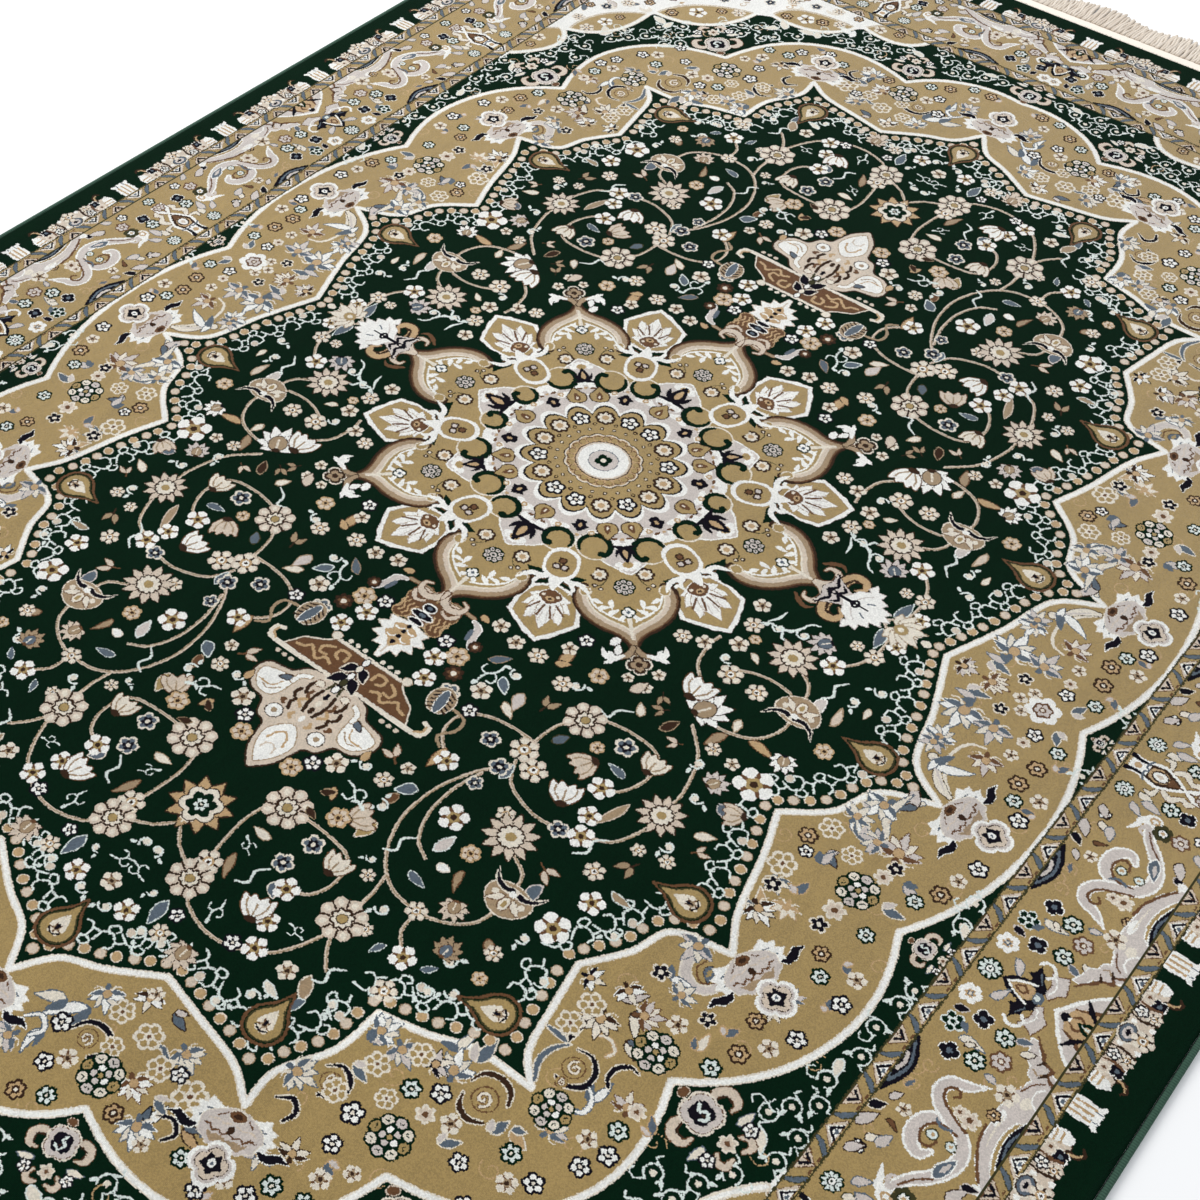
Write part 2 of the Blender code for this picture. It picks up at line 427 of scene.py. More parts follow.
def arc(a, b, rise, count=14):
    """A round bow from a to b that rises to its left by rise."""
    a, b = np.array(a, float), np.array(b, float)
    chord = b - a
    t = np.linspace(-1, 1, count)
    normal = np.array([-chord[1], chord[0]]) / np.hypot(*chord)
    return (a + b) / 2 + np.outer(t / 2, chord) + np.outer(rise * (1 - np.abs(t)**2.2), normal)


# Where the outer lobes of the wreath meet, from the long axis to the cross axis. Each lobe bows out by the
# bow of the meeting at its far end.
WREATH_NOTCHES = [
    {"x": 0.0, "y": 1184, "bow": 0.0},
    {"x": 180, "y": 1110, "bow": 30},
    {"x": 455, "y": 965, "bow": 82},
    {"x": 606, "y": 697, "bow": 84},
    {"x": 690, "y": 388, "bow": 60},
    {"x": 713, "y": 0.0, "bow": 46},
]
# The inner edge of the wreath, from one corner of it to the next.
WREATH_FLANKS = [
    [(0.0, 1055), (30, 1010), (75, 988), (134, 950)],
    [(134, 950), (190, 962), (255, 976), (298, 1002)],
    [(298, 1002), (295, 955), (325, 895), (330, 835)],
    [(330, 835), (385, 820), (435, 800), (503, 797)],
    [(503, 797), (475, 765), (462, 705), (452, 650)],
    [(452, 650), (485, 600), (505, 550), (569, 531)],
    [(569, 531), (543, 480), (523, 400), (502, 339)],
    [(502, 339), (550, 295), (575, 238), (637, 208)],
    [(637, 208), (585, 170), (562, 90), (529, 0.0)],
]


outer_line = np.concatenate([arc((p["x"], p["y"]), (q["x"], q["y"]), q["bow"])
                             for p, q in zip(WREATH_NOTCHES, WREATH_NOTCHES[1:])])
inner_line = np.concatenate([smooth(flank, steps=10) for flank in WREATH_FLANKS])
fill(np.concatenate([outer_line, [(0, 0)]]), "gold")


# WREATH
# The wide band of flowers, leaves, ribbons and curls round the field. Like all the pattern it is woven in
# cut pile, tuft by tuft: each motif is laid on the chart over the ones before it.


def square_rose(n, reach=26, dark="green"):
    """A full rose whose two rings of pale petals are parted by thin dark lines."""
    n.shape(lobes(8, reach, 0.12, 0.7), dark, rounded=False)
    for number in range(8):
        m = n.at(0, 0, 45 * number)
        yarn = ("silver", "cream", "gold", "cream")[number % 4]
        m.oval(0, 0.72 * reach, 0.235 * reach, 0.2 * reach, yarn)
        m.line([(-0.1 * reach, 0.74 * reach), (0, 0.66 * reach), (0.1 * reach, 0.74 * reach)], 0.05 * reach,
               dark)
    for number in range(5):
        n.at(0, 0, 72 * number).oval(0, 0.31 * reach, 0.15 * reach, 0.125 * reach,
                                     "snow" if number % 2 else "silver")
    n.oval(0, 0, 0.11 * reach, 0.11 * reach, "gold")


def tip_group(n, size=1.0):
    """The shell, flames and rose that burst from each tip of the wreath."""
    m = n.at(0, 0, size=size)
    for h in (m, m.at(0, 0, flip=-1)):
        h.shape([(6, 4), (20, 6), (34, 0.0), (37, 8), (46, 10), (41, 17), (50, 22), (42, 28), (44, 36),
                 (34, 36), (26, 30)], "snow", "cream", 0.8, rounded=False)
        h.line([(24, 12), (34, 14)], 1.6, "slate", rounded=False)
        h.line([(26, 20), (38, 24)], 1.6, "slate", rounded=False)
        h.shape([(34, 34), (44, 34), (58, 28), (70, 34), (60, 36), (52, 42), (40, 42)], "black", "snow", 1,
                rounded=False)
    m.shape([(0, 48), (10, 46), (17, 49), (24, 43), (32, 40), (33, 32), (36, 24), (31, 16), (22, 10),
             (10, 4), (0, 2)], "silver", "cream", 1, mirror=True, rounded=False)
    m.shape([(0, 47), (9, 44), (16, 45), (21, 39), (24, 34), (17, 37), (10, 35), (0, 38)], "tan",
            mirror=True, rounded=False)
    for h in (m, m.at(0, 0, flip=-1)):
        h.line([(0.0, 30), (7, 34), (12, 30), (18, 34), (23, 28), (29, 29)], 2.2, "brown", rounded=False)
        h.line([(3, 20), (11, 22), (19, 20), (27, 22)], 1.6, "beige", rounded=False)
        h.line([(12, 10), (20, 16)], 1.6, "brown", rounded=False)
    m.oval(0, 10, 9.5, 6, "brown", rim="cream", width=1).oval(0, 10, 5, 3, "bark")
    m.oval(0, 26, 4, 5, "bark")
    p = m.at(0, 66)
    p.shape(lobes(4, 26, 0.24, 0.6, 0), "snow", rounded=False)
    p.shape(lobes(4, 21.5, 0.26, 0.6, 0), "silver", rounded=False)
    p.shape(lobes(4, 17.5, 0.3, 0.7, 0), "beige", "bark", 0.8, rounded=False)
    p.shape([(0, 13), (5, 7), (13, 3), (8, -5), (6, -12), (0, -8)], "black", mirror=True, rounded=False)
    p.oval(0, -1, 4.2, 5, "snow").oval(0, -1, 1.8, 2.2, "slate")


def spray(n, size=1.0, light="snow", dark="slate", leaves=5, spread=110):
    """A half-open flower seen from the side, in split petals that are outlined in a dark yarn."""
    m = n.at(0, 0, size=size)
    for number in range(leaves):
        lean = spread * (number / (leaves - 1) - 0.5)
        reach = 29 - 0.1 * abs(lean) - 3 * (number % 2)
        m.at(0, 0, lean).leaf(reach, 9.5, light if number % 2 == 0 else "cream", lean / 500, dark, 1.1)
    for h in (m, m.at(0, 0, flip=-1)):
        h.at(2, 0, 105).leaf(18, 7.5, dark, -0.45, light, 0.9)
        h.line([(3, -2), (10, -8), (17, -6)], (3, 1), "cream")
    m.oval(0, 2, 5.2, 5.8, "camel", rim=dark, width=1).oval(0, -8, 3.4, 5, dark)


def coil(n, reach=8):
    """A cream spiral on gold that ends a dark curl."""
    n.oval(0, 0, 1.35 * reach, 1.35 * reach, "brown").oval(0, 0, 1.2 * reach, 1.2 * reach, "gold")
    n.at(-0.85 * reach, -0.2 * reach).curl(0.85 * reach, 1.25, 0.26 * reach, "cream", rim="brown",
                                           rim_width=0.7)


def teardrop(n):
    """A pointed bud that hangs off the wreath into the field; ahead is its point."""
    for grow, yarn in ((1.0, "brown"), (0.86, "green"), (0.8, "olive"), (0.72, "gold")):
        n.shape([(0, 46 * grow + 2), (8 * grow, 30 * grow), (22 * grow, 12 * grow), (26 * grow, -4 * grow),
                 (18 * grow, -20 * grow), (0, -26 * grow)], yarn, mirror=True)
    n.at(0, -12).leaf(32, 18, "cream")
    n.flower("white", 10.5, 0, -2)
    n.line([(-8, -6), (0, -10), (8, -6)], 2, "black")
    n.oval(0, 1, 2.5, 3.5, "black")


# flower, x, y, reach
WREATH_FLOWERS = [
    ("blackfull", 620, 31, 11), ("black", 671, 41, 11.5), ("green", 705, 48, 11.5), ("pale", 666, 60, 9),
    ("brown", 697, 85, 13), ("white", 664, 87, 9.5), ("brown", 691, 119, 13), ("white", 722, 127, 11.5),
    ("green", 699, 145, 11.5), ("black", 717, 167, 13), ("black", 715, 257, 13), ("white", 706, 286, 10.5),
    ("brown", 700, 315, 13), ("lace", 598, 335, 13.5), ("lace", 561, 318, 15.5),
    ("blackfull", 645, 318, 11.5), ("pale", 640, 337, 11.5), ("green", 683, 342, 11.5),
    ("brown", 546, 344, 12.5), ("black", 556, 364, 10), ("lace", 545, 396, 18), ("pale", 622, 410, 14),
    ("green", 665, 415, 11.5), ("blackfull", 552, 426, 12.5), ("blackfull", 619, 437, 12),
    ("brown", 641, 467, 11.5), ("white", 687, 470, 11.5), ("green", 655, 492, 11.5),
    ("black", 690, 506, 12.5), ("black", 677, 572, 12.5), ("brown", 633, 582, 11.5),
    ("white", 661, 600, 11.5), ("blackfull", 524, 600, 12), ("blackfull", 594, 614, 11),
    ("brown", 641, 626, 12.5), ("white", 574, 640, 12), ("green", 628, 658, 12.5), ("lace", 492, 680, 16),
    ("lace", 488, 712, 16), ("green", 598, 777, 12.5), ("pale", 600, 748, 10.5), ("black", 606, 805, 12.5),
    ("white", 580, 804, 11.5), ("black", 592, 832, 12.5), ("black", 438, 862, 12.5),
    ("green", 412, 878, 12.5), ("pale", 441, 890, 11.5), ("white", 467, 881, 12), ("green", 532, 866, 12.5),
    ("black", 568, 876, 12.5), ("white", 548, 893, 12), ("black", 499, 907, 11.5),
    ("black", 531, 938, 11.5), ("lace", 395, 842, 15), ("black", 365, 1070, 12.5),
    ("green", 377, 1046, 12.5), ("white", 337, 1072, 11.5), ("green", 290, 1084, 12),
    ("lace", 250, 1032, 20), ("white", 250, 1100, 9.5), ("black", 324, 1098, 11.5),
    ("white", 408, 1010, 12), ("black", 385, 937, 14), ("lace", 355, 930, 15), ("lace", 400, 903, 13),
    ("lace", 368, 880, 15), ("black", 392, 975, 12), ("lace", 205, 1030, 16), ("lace", 170, 1012, 17),
    ("lace", 128, 1010, 15), ("lace", 150, 1045, 13), ("black", 90, 1060, 13), ("white", 125, 1084, 12),
    ("black", 110, 1102, 12), ("green", 140, 1126, 12), ("brown", 112, 1142, 12), ("brown", 48, 1168, 12.5),
    ("white", 65, 1140, 10), ("green", 80, 1168, 11.5), ("brown", 205, 1095, 12), ("white", 140, 972, 9),
    ("black", 225, 1022, 11), ("white", 428, 985, 10), ("green", 412, 1038, 11.5),
]
# x, y, turn, length, width, bend, yarn, rim
WREATH_LEAVES = [
    (690, 18, 10, 22, 10, 0.2, "slate", "cream"),
    (574, 28, 80, 28, 11, 0.3, "slate", "cream"),
    (590, 40, 250, 26, 10, 0.3, "silver", "slate"),
    (716, 74, 150, 18, 9, 0, "slate", "camel"),
    (727, 148, 270, 18, 8, 0.2, "slate", "camel"),
    (603, 160, 100, 46, 12, 0.25, "snow", "slate"),
    (600, 152, 20, 18, 9, -0.3, "snow", "slate"),
    (620, 228, -130, 34, 13, -0.3, "silver", "bark"),
    (602, 262, -170, 46, 8, -0.3, "cream", "slate"),
    (582, 262, -150, 26, 12, 0.2, "slate", "cream"),
    (572, 292, 60, 24, 12, -0.2, "snow", "slate"),
    (590, 304, 95, 30, 10, -0.3, "slate", "cream"),
    (663, 330, 60, 22, 11, 0.2, "silver", "slate"),
    (575, 350, 60, 22, 9, 0, "slate", "bark"),
    (660, 372, 85, 26, 11, 0.2, "slate", "cream"),
    (575, 368, 150, 24, 10, 0.3, "silver", "slate"),
    (578, 420, 170, 22, 11, 0, "slate", "camel"),
    (666, 462, 60, 16, 9, 0, "slate", "camel"),
    (683, 522, 200, 14, 9, 0, "slate", "camel"),
    (560, 470, -170, 34, 12, 0.3, "camel", "cream"),
    (617, 618, 150, 18, 9, 0, "slate", "camel"),
    (604, 652, 160, 24, 10, 0.3, "cream", "camel"),
    (510, 654, 120, 30, 11, 0.3, "silver", "bark"),
    (530, 662, 60, 28, 10, -0.3, "cream", "bark"),
    (500, 732, 190, 52, 9, -0.12, "black", "cream"),
    (556, 770, 150, 30, 9, 0.3, "snow", "slate"),
    (502, 862, 150, 22, 11, 0.2, "slate", "cream"),
    (517, 846, 60, 24, 12, 0.2, "camel", "cream"),
    (441, 812, 160, 34, 13, 0.3, "slate", "cream"),
    (420, 815, 190, 30, 10, -0.3, "cream", "slate"),
    (545, 690, 40, 22, 8, 0.3, "cream", "bark"),
    (535, 600, 120, 26, 8, -0.3, "snow", "slate"),
    (625, 760, 200, 22, 8, 0.2, "slate", "camel"),
    (470, 905, 120, 24, 9, 0.2, "slate", "cream"),
    (100, 1030, -60, 50, 13, 0.35, "snow", "slate"),
    (75, 1040, -80, 34, 13, 0.3, "cream", "slate"),
    (80, 1080, -20, 28, 9, 0.5, "snow", "slate"),
    (270, 1060, 60, 28, 10, 0.3, "camel", "bark"),
    (235, 1080, 150, 26, 10, 0.3, "snow", "black"),
    (335, 1100, 90, 20, 9, 0, "slate", "camel"),
    (402, 990, 30, 22, 10, 0.2, "slate", "camel"),
    (345, 865, 140, 30, 13, 0.2, "silver", "slate"),
    (350, 895, 60, 24, 10, 0.2, "slate", "cream"),
    (30, 1170, 90, 20, 10, 0.2, "slate", "camel"),
    (170, 975, 60, 24, 10, 0.2, "slate", "bark"),
    (225, 1055, 60, 24, 8, 0.2, "slate", "cream"),
]
# x, y, turn, size, light, dark, leaves, spread
WREATH_SPRAYS = [
    (551, 0.0, 90, 0.8, "silver", "bark", 5, 110), (590, 0.0, 90, 0.9, "cream", "brown", 5, 90),
    (588, 60, 0, 1.35, "snow", "slate", 5, 120), (628, 62, 10, 1.1, "silver", "slate", 5, 140),
    (586, 120, 180, 0.9, "snow", "slate", 5, 120), (585, 128, 0, 0.8, "silver", "slate", 3, 90),
    (645, 112, 20, 0.95, "silver", "brown", 5, 150), (590, 248, -20, 1.05, "snow", "slate", 5, 130),
    (574, 286, 170, 0.9, "cream", "slate", 3, 100), (637, 300, 190, 1.2, "silver", "brown", 5, 120),
    (612, 300, -80, 0.9, "silver", "slate", 5, 120), (552, 420, 40, 0.75, "cream", "slate", 3, 100),
    (536, 545, -10, 1.0, "silver", "slate", 5, 140), (556, 462, 60, 0.95, "snow", "bark", 5, 110),
    (580, 440, 10, 0.8, "cream", "camel", 3, 90), (510, 640, 60, 0.8, "snow", "bark", 3, 110),
    (508, 685, 20, 1.0, "cream", "bark", 5, 120), (540, 655, 120, 0.9, "silver", "brown", 5, 110),
    (470, 655, 100, 0.75, "snow", "black", 3, 100), (556, 610, 160, 0.8, "cream", "slate", 3, 100),
    (590, 752, 200, 0.8, "silver", "brown", 3, 100), (545, 822, 170, 0.9, "silver", "slate", 5, 120),
    (432, 836, 200, 1.0, "snow", "slate", 5, 130), (412, 842, 140, 0.8, "silver", "black", 3, 100),
    (640, 560, 10, 0.6, "cream", "bark", 3, 90), (648, 535, 190, 0.6, "silver", "slate", 3, 90),
    (345, 850, 150, 0.9, "snow", "slate", 5, 120), (232, 1088, 30, 1.0, "snow", "slate", 5, 110),
    (138, 978, 20, 0.8, "snow", "bark", 3, 110), (212, 1000, 60, 0.9, "cream", "slate", 5, 120),
    (310, 940, 90, 1.0, "cream", "slate", 5, 120), (60, 1105, -30, 0.9, "silver", "slate", 5, 120),
    (290, 1045, 170, 0.9, "silver", "slate", 5, 110), (195, 1058, 60, 0.9, "snow", "brown", 5, 110),
    (100, 1005, 40, 0.9, "snow", "slate", 5, 120), (375, 850, 60, 0.9, "silver", "slate", 5, 120),
    (370, 1010, 200, 0.8, "cream", "bark", 3, 110), (345, 1030, 20, 0.7, "silver", "slate", 3, 110),
]
# yarn, rim, thickness, and the path of a thick curl that thins to both ends
WREATH_CURLS = [
    ("black", "cream", 8, [(513, 731), (530, 729), (543, 742), (543, 760), (528, 772), (514, 770)]),
    ("black", "cream", 7, [(577, 713), (566, 712), (556, 722), (555, 736), (562, 745)]),
    ("slate", "cream", 8, [(503, 732), (492, 748), (490, 768), (500, 788)]),
    ("bark", "cream", 8.5, [(452, 830), (458, 815), (474, 809), (490, 814), (498, 828)]),
    ("bark", "cream", 8, [(454, 846), (460, 860), (475, 866), (490, 860)]),
    ("snow", "slate", 6.5, [(548, 758), (558, 768), (560, 782), (551, 790)]),
    ("cream", "camel", 4.5, [(515, 706), (530, 700), (543, 708), (540, 718)]),
    ("slate", "cream", 6, [(575, 288), (583, 303), (600, 308), (614, 298)]),
    ("black", "cream", 8, [(330, 915), (345, 905), (362, 915), (362, 935), (345, 945)]),
    ("black", "cream", 7, [(315, 975), (330, 965), (342, 975), (338, 990)]),
    ("black", "cream", 8, [(100, 1062), (112, 1040), (135, 1036), (150, 1052), (140, 1070)]),
    ("slate", "cream", 6, [(175, 1020), (190, 1012), (205, 1022), (200, 1036)]),
    ("snow", "slate", 6, [(55, 1080), (68, 1068), (82, 1078), (76, 1092)]),
    ("black", "cream", 6.5, [(240, 1068), (255, 1060), (268, 1070), (262, 1084)]),
]
# x, y, reach
WREATH_COILS = [(522, 751, 9.5), (476, 838, 11), (345, 926, 8.5), (124, 1055, 8.5), (522, 772, 5)]


def faint_curls():
    """Thin curls in a yarn close to the gold ground, under everything else."""
    for number in range(11):
        for row in range(9):
            x, y = 60 + 65 * number, 50 + 130 * row + 60 * (number % 2)
            CLOTH.at(x, y, 140 * number + 75 * row).curl(13, 1.1, 1.4, "camel")


def wreath():
    """All the motifs of the wreath, the lowest first."""
    # ribbons beside the first tip
    ribbon = [(637, 98), (620, 104), (611, 124), (612, 150), (625, 172), (642, 188)]
    CLOTH.line(ribbon, (3, 4.5, 4.5, 3), "cream")
    CLOTH.line([(596, 150), (606, 156), (612, 170), (626, 184), (640, 190)], (12, 7, 10, 12, 6), "cream",
               rim="bark", rim_width=1.1)
    CLOTH.line([(598, 152), (610, 166), (630, 185)], (4, 2), "silver")
    CLOTH.line([(622, 218), (606, 232), (600, 250), (603, 268), (612, 284), (610, 296)],
               (5, 10, 8, 10, 7, 3), "cream", rim="slate", rim_width=1.2)
    CLOTH.line([(612, 226), (603, 244), (606, 268)], (4.5, 3), "beige")
    # the ring beside the second tip
    CLOTH.at(546.5, 552, -10).line([(0, 0), (-6, 16), (4, 32), (22, 36), (34, 26), (36, 10), (26, -2)],
                                   (4, 9, 11, 10, 9, 7, 3), "silver", rim="cream", rim_width=1.8)
    CLOTH.line([(553, 556), (550, 570), (562, 582), (574, 574), (572, 560)], 2.2, "brown")
    CLOTH.at(561, 558, 10).leaf(22, 12, "slate", 0.2, "bark", 0.8).at(1, 4).leaf(12, 5, "gold")
    for x, y, turn, length, width, bend, yarn, rim in WREATH_LEAVES:
        CLOTH.at(x, y, turn).leaf(length, width, yarn, bend, rim)
        CLOTH.at(x, y, turn + 70).leaf(0.6 * length, 0.7 * width, "silver" if yarn == "slate" else "slate",
                                       -bend, rim)
    for yarn, rim, heavy, path in WREATH_CURLS:
        CLOTH.line(path, (1.5, 0.72 * heavy, 0.8 * heavy, 3), yarn, rim=rim, rim_width=1.3)
    for x, y, reach in WREATH_COILS:
        coil(CLOTH.at(x, y, 4 * x), reach)
    for x, y, turn, size, light, dark, leaves, spread in WREATH_SPRAYS:
        spray(CLOTH.at(x, y, turn), size, light, dark, leaves, spread)
    for kind, x, y, reach in WREATH_FLOWERS:
        CLOTH.flower(kind, reach, x, y, 0.9 * x % 72)
    for x, y in ((628, 371), (575, 681), (430, 932), (165, 1075)):
        square_rose(CLOTH.at(x, y))
    for x, y, turn in ((640, 206, 90), (572, 528, 75), (300, 1006, 15), (0.0, 1056, 0)):
        tip_group(CLOTH.at(x, y, turn), 0.98)
    square_rose(CLOTH.at(533, 802), 24)
    CLOTH.flower("fleece", 23, 660, 0.0).flower("blush", 13, 660, 0.0)
    for x, y in ((630, 0.0), (640, 18)):
        CLOTH.flower("white", 9, x, y)


def along_wreath(offset, step, clear):
    """Spots that follow the wreath on the field side, each with the way along it."""
    run = np.concatenate([[0], np.cumsum(np.hypot(*np.diff(inner_line, axis=0).T))])
    spots = []
    for s in np.arange(2, run[-1], step):
        here = np.array([np.interp(s, run, inner_line[:, 0]), np.interp(s, run, inner_line[:, 1])])
        ahead = np.array([np.interp(s + 4, run, inner_line[:, 0]), np.interp(s + 4, run, inner_line[:, 1])])
        way = (ahead - here) / max(1e-6, np.hypot(*(ahead - here)))
        u, v = here + offset * np.array([way[1], -way[0]])
        if np.hypot(inner_line[:, 0] - u, inner_line[:, 1] - v).min() > clear and u > 0 and v > 0:
            spots.append((u, v, degrees(atan2(way[0], way[1]))))
    return spots


def wreath_dots():
    """The row of small rounds that follows the wreath on the field side, and the pale lace beyond it."""
    last, number = (9000, 9000), 0
    for x, y, turn in along_wreath(16.5, 2.5, 14.5):
        if hypot(x - last[0], y - last[1]) > 17.2:
            CLOTH.oval(x, y, 5.8, 5.8, "camel" if number % 2 else "beige",
                       rim="cream" if number % 2 else "tan", width=1.1)
            last, number = (x, y), number + 1
    last = (9000, 9000)
    for x, y, turn in along_wreath(37.5, 2.5, 33):
        if hypot(x - last[0], y - last[1]) > 29:
            hand = 1 if number % 2 else -1
            n = CLOTH.at(x, y, turn, flip=hand)
            n.line([(-6, -17), (6, -8), (5, 3), (-5, 9), (-3, 18)], 2.6, "ice")
            n.line([(5, -2), (13, -3), (16, 5), (11, 10), (7, 6)], 2.4, "ice")
            n.line([(-4, 8), (-12, 6), (-14, -2)], 2.4, "ice")
            if number % 3 == 0:
                n.oval(-10, -8, 5, 5, "beige", rim="ice", width=1)
            last, number = (x, y), number + 1


# FIELD
# Vines, flowers and leaves in pale and gold pile on the dark green ground between the medallion and the
# wreath. Every vine ends under a flower.


def daisy(n, reach, petals=11, yarn="beige", heart="gold"):
    """A wide flower with pointed petals."""
    for number in range(petals):
        m = n.at(0, 0, 360 * number / petals)
        m.at(0, 0.3 * reach).leaf(0.72 * reach, 0.34 * reach, yarn, rim="bark", rim_width=1.4)
    n.shape(lobes(petals, 0.46 * reach, 0.2), "cream", "bark", 2.2, rounded=False)
    n.oval(0, 0, 0.2 * reach, 0.2 * reach, heart)


def bell(n, size=1.0, yarn="snow", stripe="tan", cup="bark"):
    """A flower seen from its side, its mouth ahead."""
    m = n.at(0, 0, size=size)
    m.shape([(0, 24), (8, 30), (12, 24), (20, 28), (19, 12), (10, 0.0), (0, -3)], yarn, "brown", 1.4,
            mirror=True)
    for hand in (1, -1):
        m.line([(hand * 4, 2), (hand * 12, 12), (hand * 14, 22)], 2.4, stripe)
    m.line([(0, 0.0), (0, 18)], 2.4, stripe)
    m.oval(0, -3, 8, 5, cup)


def moustache(n, size=1.0, yarn="tan", dark="black"):
    """A palmette with two long leaves that curl to its sides."""
    m = n.at(0, 0, size=size)
    m.shape([(0, 30), (14, 26), (26, 14), (28, 0.0), (18, -10), (0, -14)], yarn, "cream", 1.4, mirror=True)
    for hand in (1, -1):
        h = m.at(0, 0, flip=hand)
        h.line([(0.0, -6), (14, -4), (26, -10), (34, -22)], (10, 9, 7, 2), "cream")
        h.line([(2, -6), (14, -4), (26, -10), (33, -20)], (6, 6, 4, 1), dark)
        h.at(6, 4, 35).leaf(22, 8, "cream", 0.2, "brown", 1)
        h.oval(18, 6, 4, 4, "cream")
    m.oval(0, 14, 6, 9, "cream", rim="brown", width=1.2).oval(0, 14, 3, 5, "gold")
    m.oval(0, -2, 5, 4, "snow")


def big_rose(n, reach=30, outer="beige", inner="cream", dark="bark"):
    """A full rose: eight petals parted by short dark lines round a dark ring."""
    n.shape(lobes(8, reach, 0.24, 0.7), outer, rounded=False)
    for number in range(8):
        m = n.at(0, 0, 45 * number)
        m.oval(0, 0.74 * reach, 0.12 * reach, 0.16 * reach, "cream")
        m.at(0, 0, 22.5).line([(0.0, 0.5 * reach), (0, 0.88 * reach)], 2.6, dark)
    n.shape(lobes(8, 0.52 * reach, 0.2), dark, rounded=False)
    n.shape(lobes(8, 0.42 * reach, 0.3), inner, rounded=False)
    n.oval(0, 0, 0.2 * reach, 0.2 * reach, "gold", rim=dark, width=1)


def white_palmette(n, size=1.0, body="snow", heart="tan", dark="bark"):
    """A spiky palmette: four pointed leaves on each side of a striped heart."""
    m = n.at(0, 0, size=size)
    for lean, long in ((-120, 26), (-84, 32), (-48, 36), (-18, 40), (18, 40), (48, 36), (84, 32),
                       (120, 26)):
        m.at(0, 4, lean).leaf(long, 17, body, rim="bark", rim_width=1.2)
    m.shape([(0, 22), (11, 14), (12, 0.0), (0, -10)], heart, dark, 1.4, mirror=True)
    m.line([(0, -6), (0, 14)], 3, "cream")
    m.oval(0, -8, 6, 4, dark)


def ice_curl(n, reach=11, hand=1.0, bud="cream"):
    """A pale curl with a bud in it and a leaf at its foot."""
    n.curl(reach, 0.85, 2.6, "ice", hand)
    n.oval(hand * reach, 2, 4.2, 4.2, bud)
    n.at(-hand * 2, 3, -50 * hand).leaf(10, 5, "ice")


def lay_leaves(table):
    """Lays the leaves of a table with the columns x, y, turn, length, width, bend, yarn, rim."""
    for x, y, turn, length, width, bend, yarn, rim in table:
        CLOTH.at(x, y, turn).leaf(length, width, yarn, bend, rim)


# Each vine leaves one flower and ends at another.
VINES = [
    [(230, 480), (250, 512), (300, 528), (352, 514), (385, 498), (402, 460), (405, 430)],
    [(405, 430), (404, 385), (388, 335), (356, 300)],
    [(350, 285), (395, 280), (425, 265), (440, 235), (440, 205)],
    [(440, 205), (420, 182), (385, 178), (350, 190), (335, 210)],
    [(330, 240), (305, 215), (298, 180), (300, 160)],
    [(440, 205), (430, 160), (405, 140), (385, 130)],
    [(463, 62), (450, 90), (432, 108)],
    [(463, 62), (460, 25), (440, 0.0)],
    [(233, 486), (205, 525), (186, 575), (184, 630), (203, 678), (235, 708), (278, 714), (312, 704),
     (336, 682), (344, 650)],
    [(212, 520), (202, 560), (203, 605), (218, 640), (240, 655)],
    [(222, 700), (227, 735), (224, 774)],
    [(278, 714), (283, 745), (305, 768)],
    [(344, 627), (335, 600), (310, 585), (293, 570)],
    [(255, 378), (278, 362), (320, 357), (352, 366), (362, 400), (350, 435), (330, 447)],
    [(255, 378), (236, 405), (230, 440), (232, 475)],
    [(230, 444), (195, 444), (160, 452), (138, 472), (140, 505), (170, 534)],
    [(77, 705), (130, 703), (175, 712), (186, 745), (176, 775), (152, 786)],
    [(62, 700), (52, 745), (55, 790), (62, 820)],
    [(62, 845), (85, 872), (125, 884), (160, 878), (192, 860), (212, 830), (224, 800)],
    [(224, 790), (238, 815), (254, 834)],
    [(0.0, 800), (20, 822), (45, 836)],
]
# flower, x, y, reach
FIELD_FLOWERS = [
    ("snowgold", 432, 108, 16.5), ("creamtan", 463, 62, 13.5), ("creamtan", 345, 203, 16.5),
    ("creamtan", 385, 206, 14), ("night", 316, 379, 15), ("snowgold", 330, 446, 16.5),
    ("snowgold", 460, 325, 25), ("creamtan", 395, 313, 10), ("night", 188, 475, 13.5),
    ("creamtan", 228, 461, 19), ("creamtan", 255, 478, 18), ("night", 222, 500, 14),
    ("snowgold", 343, 487, 14.5), ("snowgold", 170, 534, 15.5), ("night", 215, 537, 11),
    ("snowgold", 228, 591, 19), ("night", 328, 525, 13), ("snowgold", 353, 516, 16.5),
    ("creamtan", 270, 548, 12), ("creamtan", 393, 544, 13), ("snowgold", 416, 579, 16),
    ("snowgold", 404, 633, 21), ("creamtan", 278, 714, 13), ("night", 134, 724, 14),
    ("night", 125, 764, 14), ("snowgold", 152, 787, 16), ("snowgold", 165, 831, 14.5),
    ("snowgold", 178, 864, 15.5), ("black", 155, 875, 12), ("snowgold", 305, 768, 16),
    ("snowgold", 40, 922, 15), ("creamtan", 88, 918, 12), ("black", 86, 890, 10.5),
    ("creamtan", 317, 812, 15), ("snowgold", 475, 30, 13), ("creamtan", 447, 480, 10),
    ("creamtan", 62, 818, 17), ("creamtan", 375, 700, 11), ("creamtan", 252, 768, 9),
    ("night", 105, 452, 15), ("white", 480, 5, 10),
]
